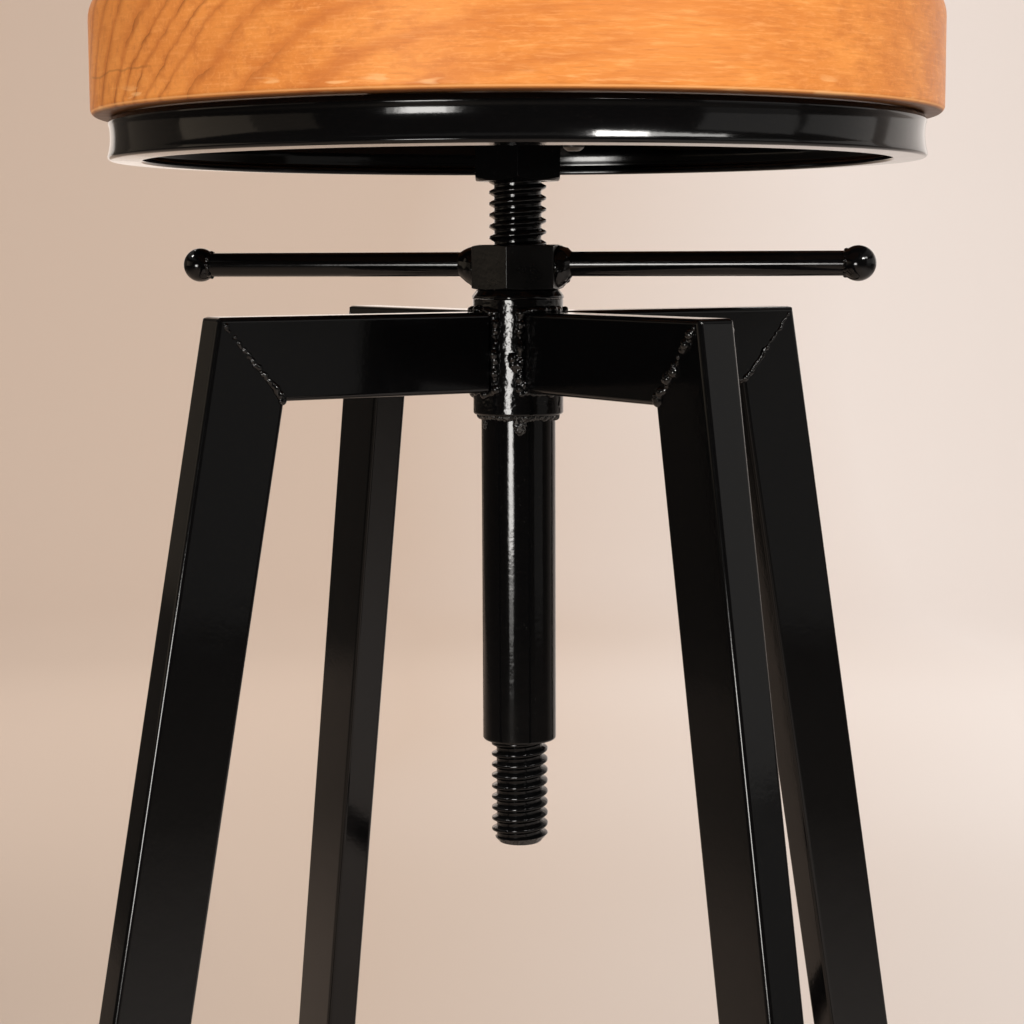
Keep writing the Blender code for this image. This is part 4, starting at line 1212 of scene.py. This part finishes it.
# Lights round the stool: azimuth and elevation in degrees, distance, size and radiance
LIGHTS = {
    "window_core": (-23.8, -3.9, 2.20, (0.42, 0.40), 13.0),
    "window_middle": (-23.8, -3.9, 2.21, (0.58, 0.42), 10.0),
    "window_edge": (-24.3, -3.9, 2.22, (0.74, 0.43), 5.0),
    "window_sill": (-24.3, -11.2, 2.20, (0.46, 0.13), 4.0),
    "softbox_right": (28.0, 30.0, 2.30, (0.52, 0.28), 48.0),
    "softbox_right_edge": (40.0, 31.0, 2.31, (1.40, 0.32), 14.0),
    "softbox_left": (-82.0, 48.0, 2.30, (0.35, 0.35), 46.0),
    "panel_right": (64.0, 11.0, 2.60, (1.4, 1.0), 0.55),
    "panel_right_low": (64.0, -6.0, 2.60, (1.4, 0.5), 0.22),
    "panel_side": (97.0, 9.0, 2.60, (1.4, 0.9), 0.55),
    "panel_back_right": (140.0, 8.0, 2.60, (1.9, 0.9), 0.55),
    "panel_left_near": (-64.0, 8.0, 2.60, (0.9, 0.9), 0.25),
    "panel_left": (-88.0, 8.0, 2.60, (1.3, 0.9), 0.60),
    "panel_left_far": (-118.0, 8.0, 2.60, (1.4, 0.9), 0.10),
    "panel_back_left": (-166.0, 8.0, 2.60, (1.5, 0.9), 0.60),
}

# Light behind the stool: how far back and how high it is, and how it leans to the wall
WALL_LIGHT_BACK = 2.4
WALL_LIGHT_HEIGHT = 3.0
WALL_LIGHT_LEAN = (0.42, 0.91)
WALL_LIGHT_SIZE = (2.8, 0.9)
WALL_LIGHT_RADIANCE = 8.4


def make_camera():
    data = bpy.data.cameras.new("camera")
    data.sensor_width = SENSOR
    data.lens = CAMERA_LENS
    camera = new_object("camera", data)
    level = Matrix.Rotation(CAMERA_HEADING, 4, "Z")
    tilt = Matrix.Rotation(pi / 2 - CAMERA_PITCH, 4, "X")
    roll = Matrix.Rotation(CAMERA_ROLL, 4, "Z")
    camera.matrix_world = Matrix.Translation(CAMERA_PLACE) @ level @ tilt @ roll
    bpy.context.scene.camera = camera


def make_light(name, place, facing, size, radiance, colour):
    """Rectangular soft light, hidden from the camera."""
    data = bpy.data.lights.new(name, "AREA")
    data.shape = "RECTANGLE"
    data.size, data.size_y = size
    data.energy = radiance * pi * size[0] * size[1]
    data.color = colour
    light = new_object(name, data)
    light.location = place
    light.rotation_mode = "QUATERNION"
    light.rotation_quaternion = facing.to_track_quat("-Z", "Y")
    light.visible_camera = False


def make_lights():
    """Lights that face the stool, with azimuth to the right of the camera, and the wall's light."""
    for name, (azimuth, elevation, distance, size, radiance) in LIGHTS.items():
        colour = AMBER_WHITE if name.startswith("panel_left") else WARM_WHITE
        turn = CAMERA_HEADING - pi / 2 + radians(azimuth)
        rise = radians(elevation)
        direction = polar(cos(rise), turn, sin(rise))
        make_light(name, LIGHT_AIM + direction * distance, -direction, size, radiance, colour)
    behind = polar(1.0, CAMERA_HEADING + pi / 2, 0.0)
    place = behind * WALL_LIGHT_BACK + UP * WALL_LIGHT_HEIGHT
    facing = behind * WALL_LIGHT_LEAN[0] - UP * WALL_LIGHT_LEAN[1]
    make_light("wall_light", place, facing, WALL_LIGHT_SIZE, WALL_LIGHT_RADIANCE, WARM_WHITE)


def make_paper():
    """Paper with painted light, lighter to the right, and painted shade, dark in front and far aside, where
    only the paint mirrors it.
    """
    made, shader, place = new_material("studio_paper")
    level = turned(place, -CAMERA_HEADING)
    parts = parts_of(level)
    # Painted light: the paper lighter to the right, with soft unevenness
    uneven = math_node("MULTIPLY_ADD", noise_node(place, 0.8, 1.0), 0.6, parts["X"])
    to_right = ramp(uneven, 0.1, 1.0, 0.0, 1.0)
    tone = mix(to_right, PAPER_LEFT, PAPER_RIGHT)
    # Painted shade: dark in front, far aside and at the far left
    in_front = ramp(parts["Y"], -0.1, 0.9, 1.0, 0.0)
    aside = ramp(math_node("ABSOLUTE", parts["X"]), 0.75, 1.4, 0.0, 1.0)
    aside = times(aside, ramp(parts["Y"], 0.2, 2.4, 1.0, 0.0))
    far = ramp(length_of(level), 0.6, 1.7, 0.0, 1.0)
    outside = times(math_node("MAXIMUM", in_front, aside), far)
    left_side = ramp(parts["X"], -2.3, -1.9, 1.0, 0.0)
    shade = math_node("MAXIMUM", outside, left_side)
    feed(shader.inputs["Base Color"], mix(shade, tone, PAPER_PAINTED_SHADE))
    feed(shader.inputs["Roughness"], 0.9)
    feed(shader.inputs["Specular IOR Level"], 0.1)
    return made


def make_backdrop():
    """Pale floor that curves up into a round wall."""
    corners = [
        (FLOOR_FLAT, FLOOR_LEVEL, 0.0),
        (WALL_RADIUS, FLOOR_LEVEL, WALL_CURVE),
        (WALL_RADIUS, WALL_HEIGHT, 0.0),
    ]
    profile = [(0.0, FLOOR_LEVEL)] + rounded_path(corners, WALL_CURVE_STEPS)
    mesh = to_mesh("studio_floor", lathe(profile, ROUND_SEGMENTS))
    mesh.shade_smooth()
    mesh.materials.append(make_paper())
    floor = new_object("studio_floor", mesh)


def make_world():
    world = bpy.data.worlds.new("soft_sky")
    world.use_nodes = True
    background = world.node_tree.nodes["Background"]
    background.inputs["Color"].default_value = SKY_COLOUR
    background.inputs["Strength"].default_value = SKY_STRENGTH
    bpy.context.scene.world = world


make_camera()
make_backdrop()
make_world()
make_lights()
bpy.context.scene.view_settings.view_transform = "Standard"
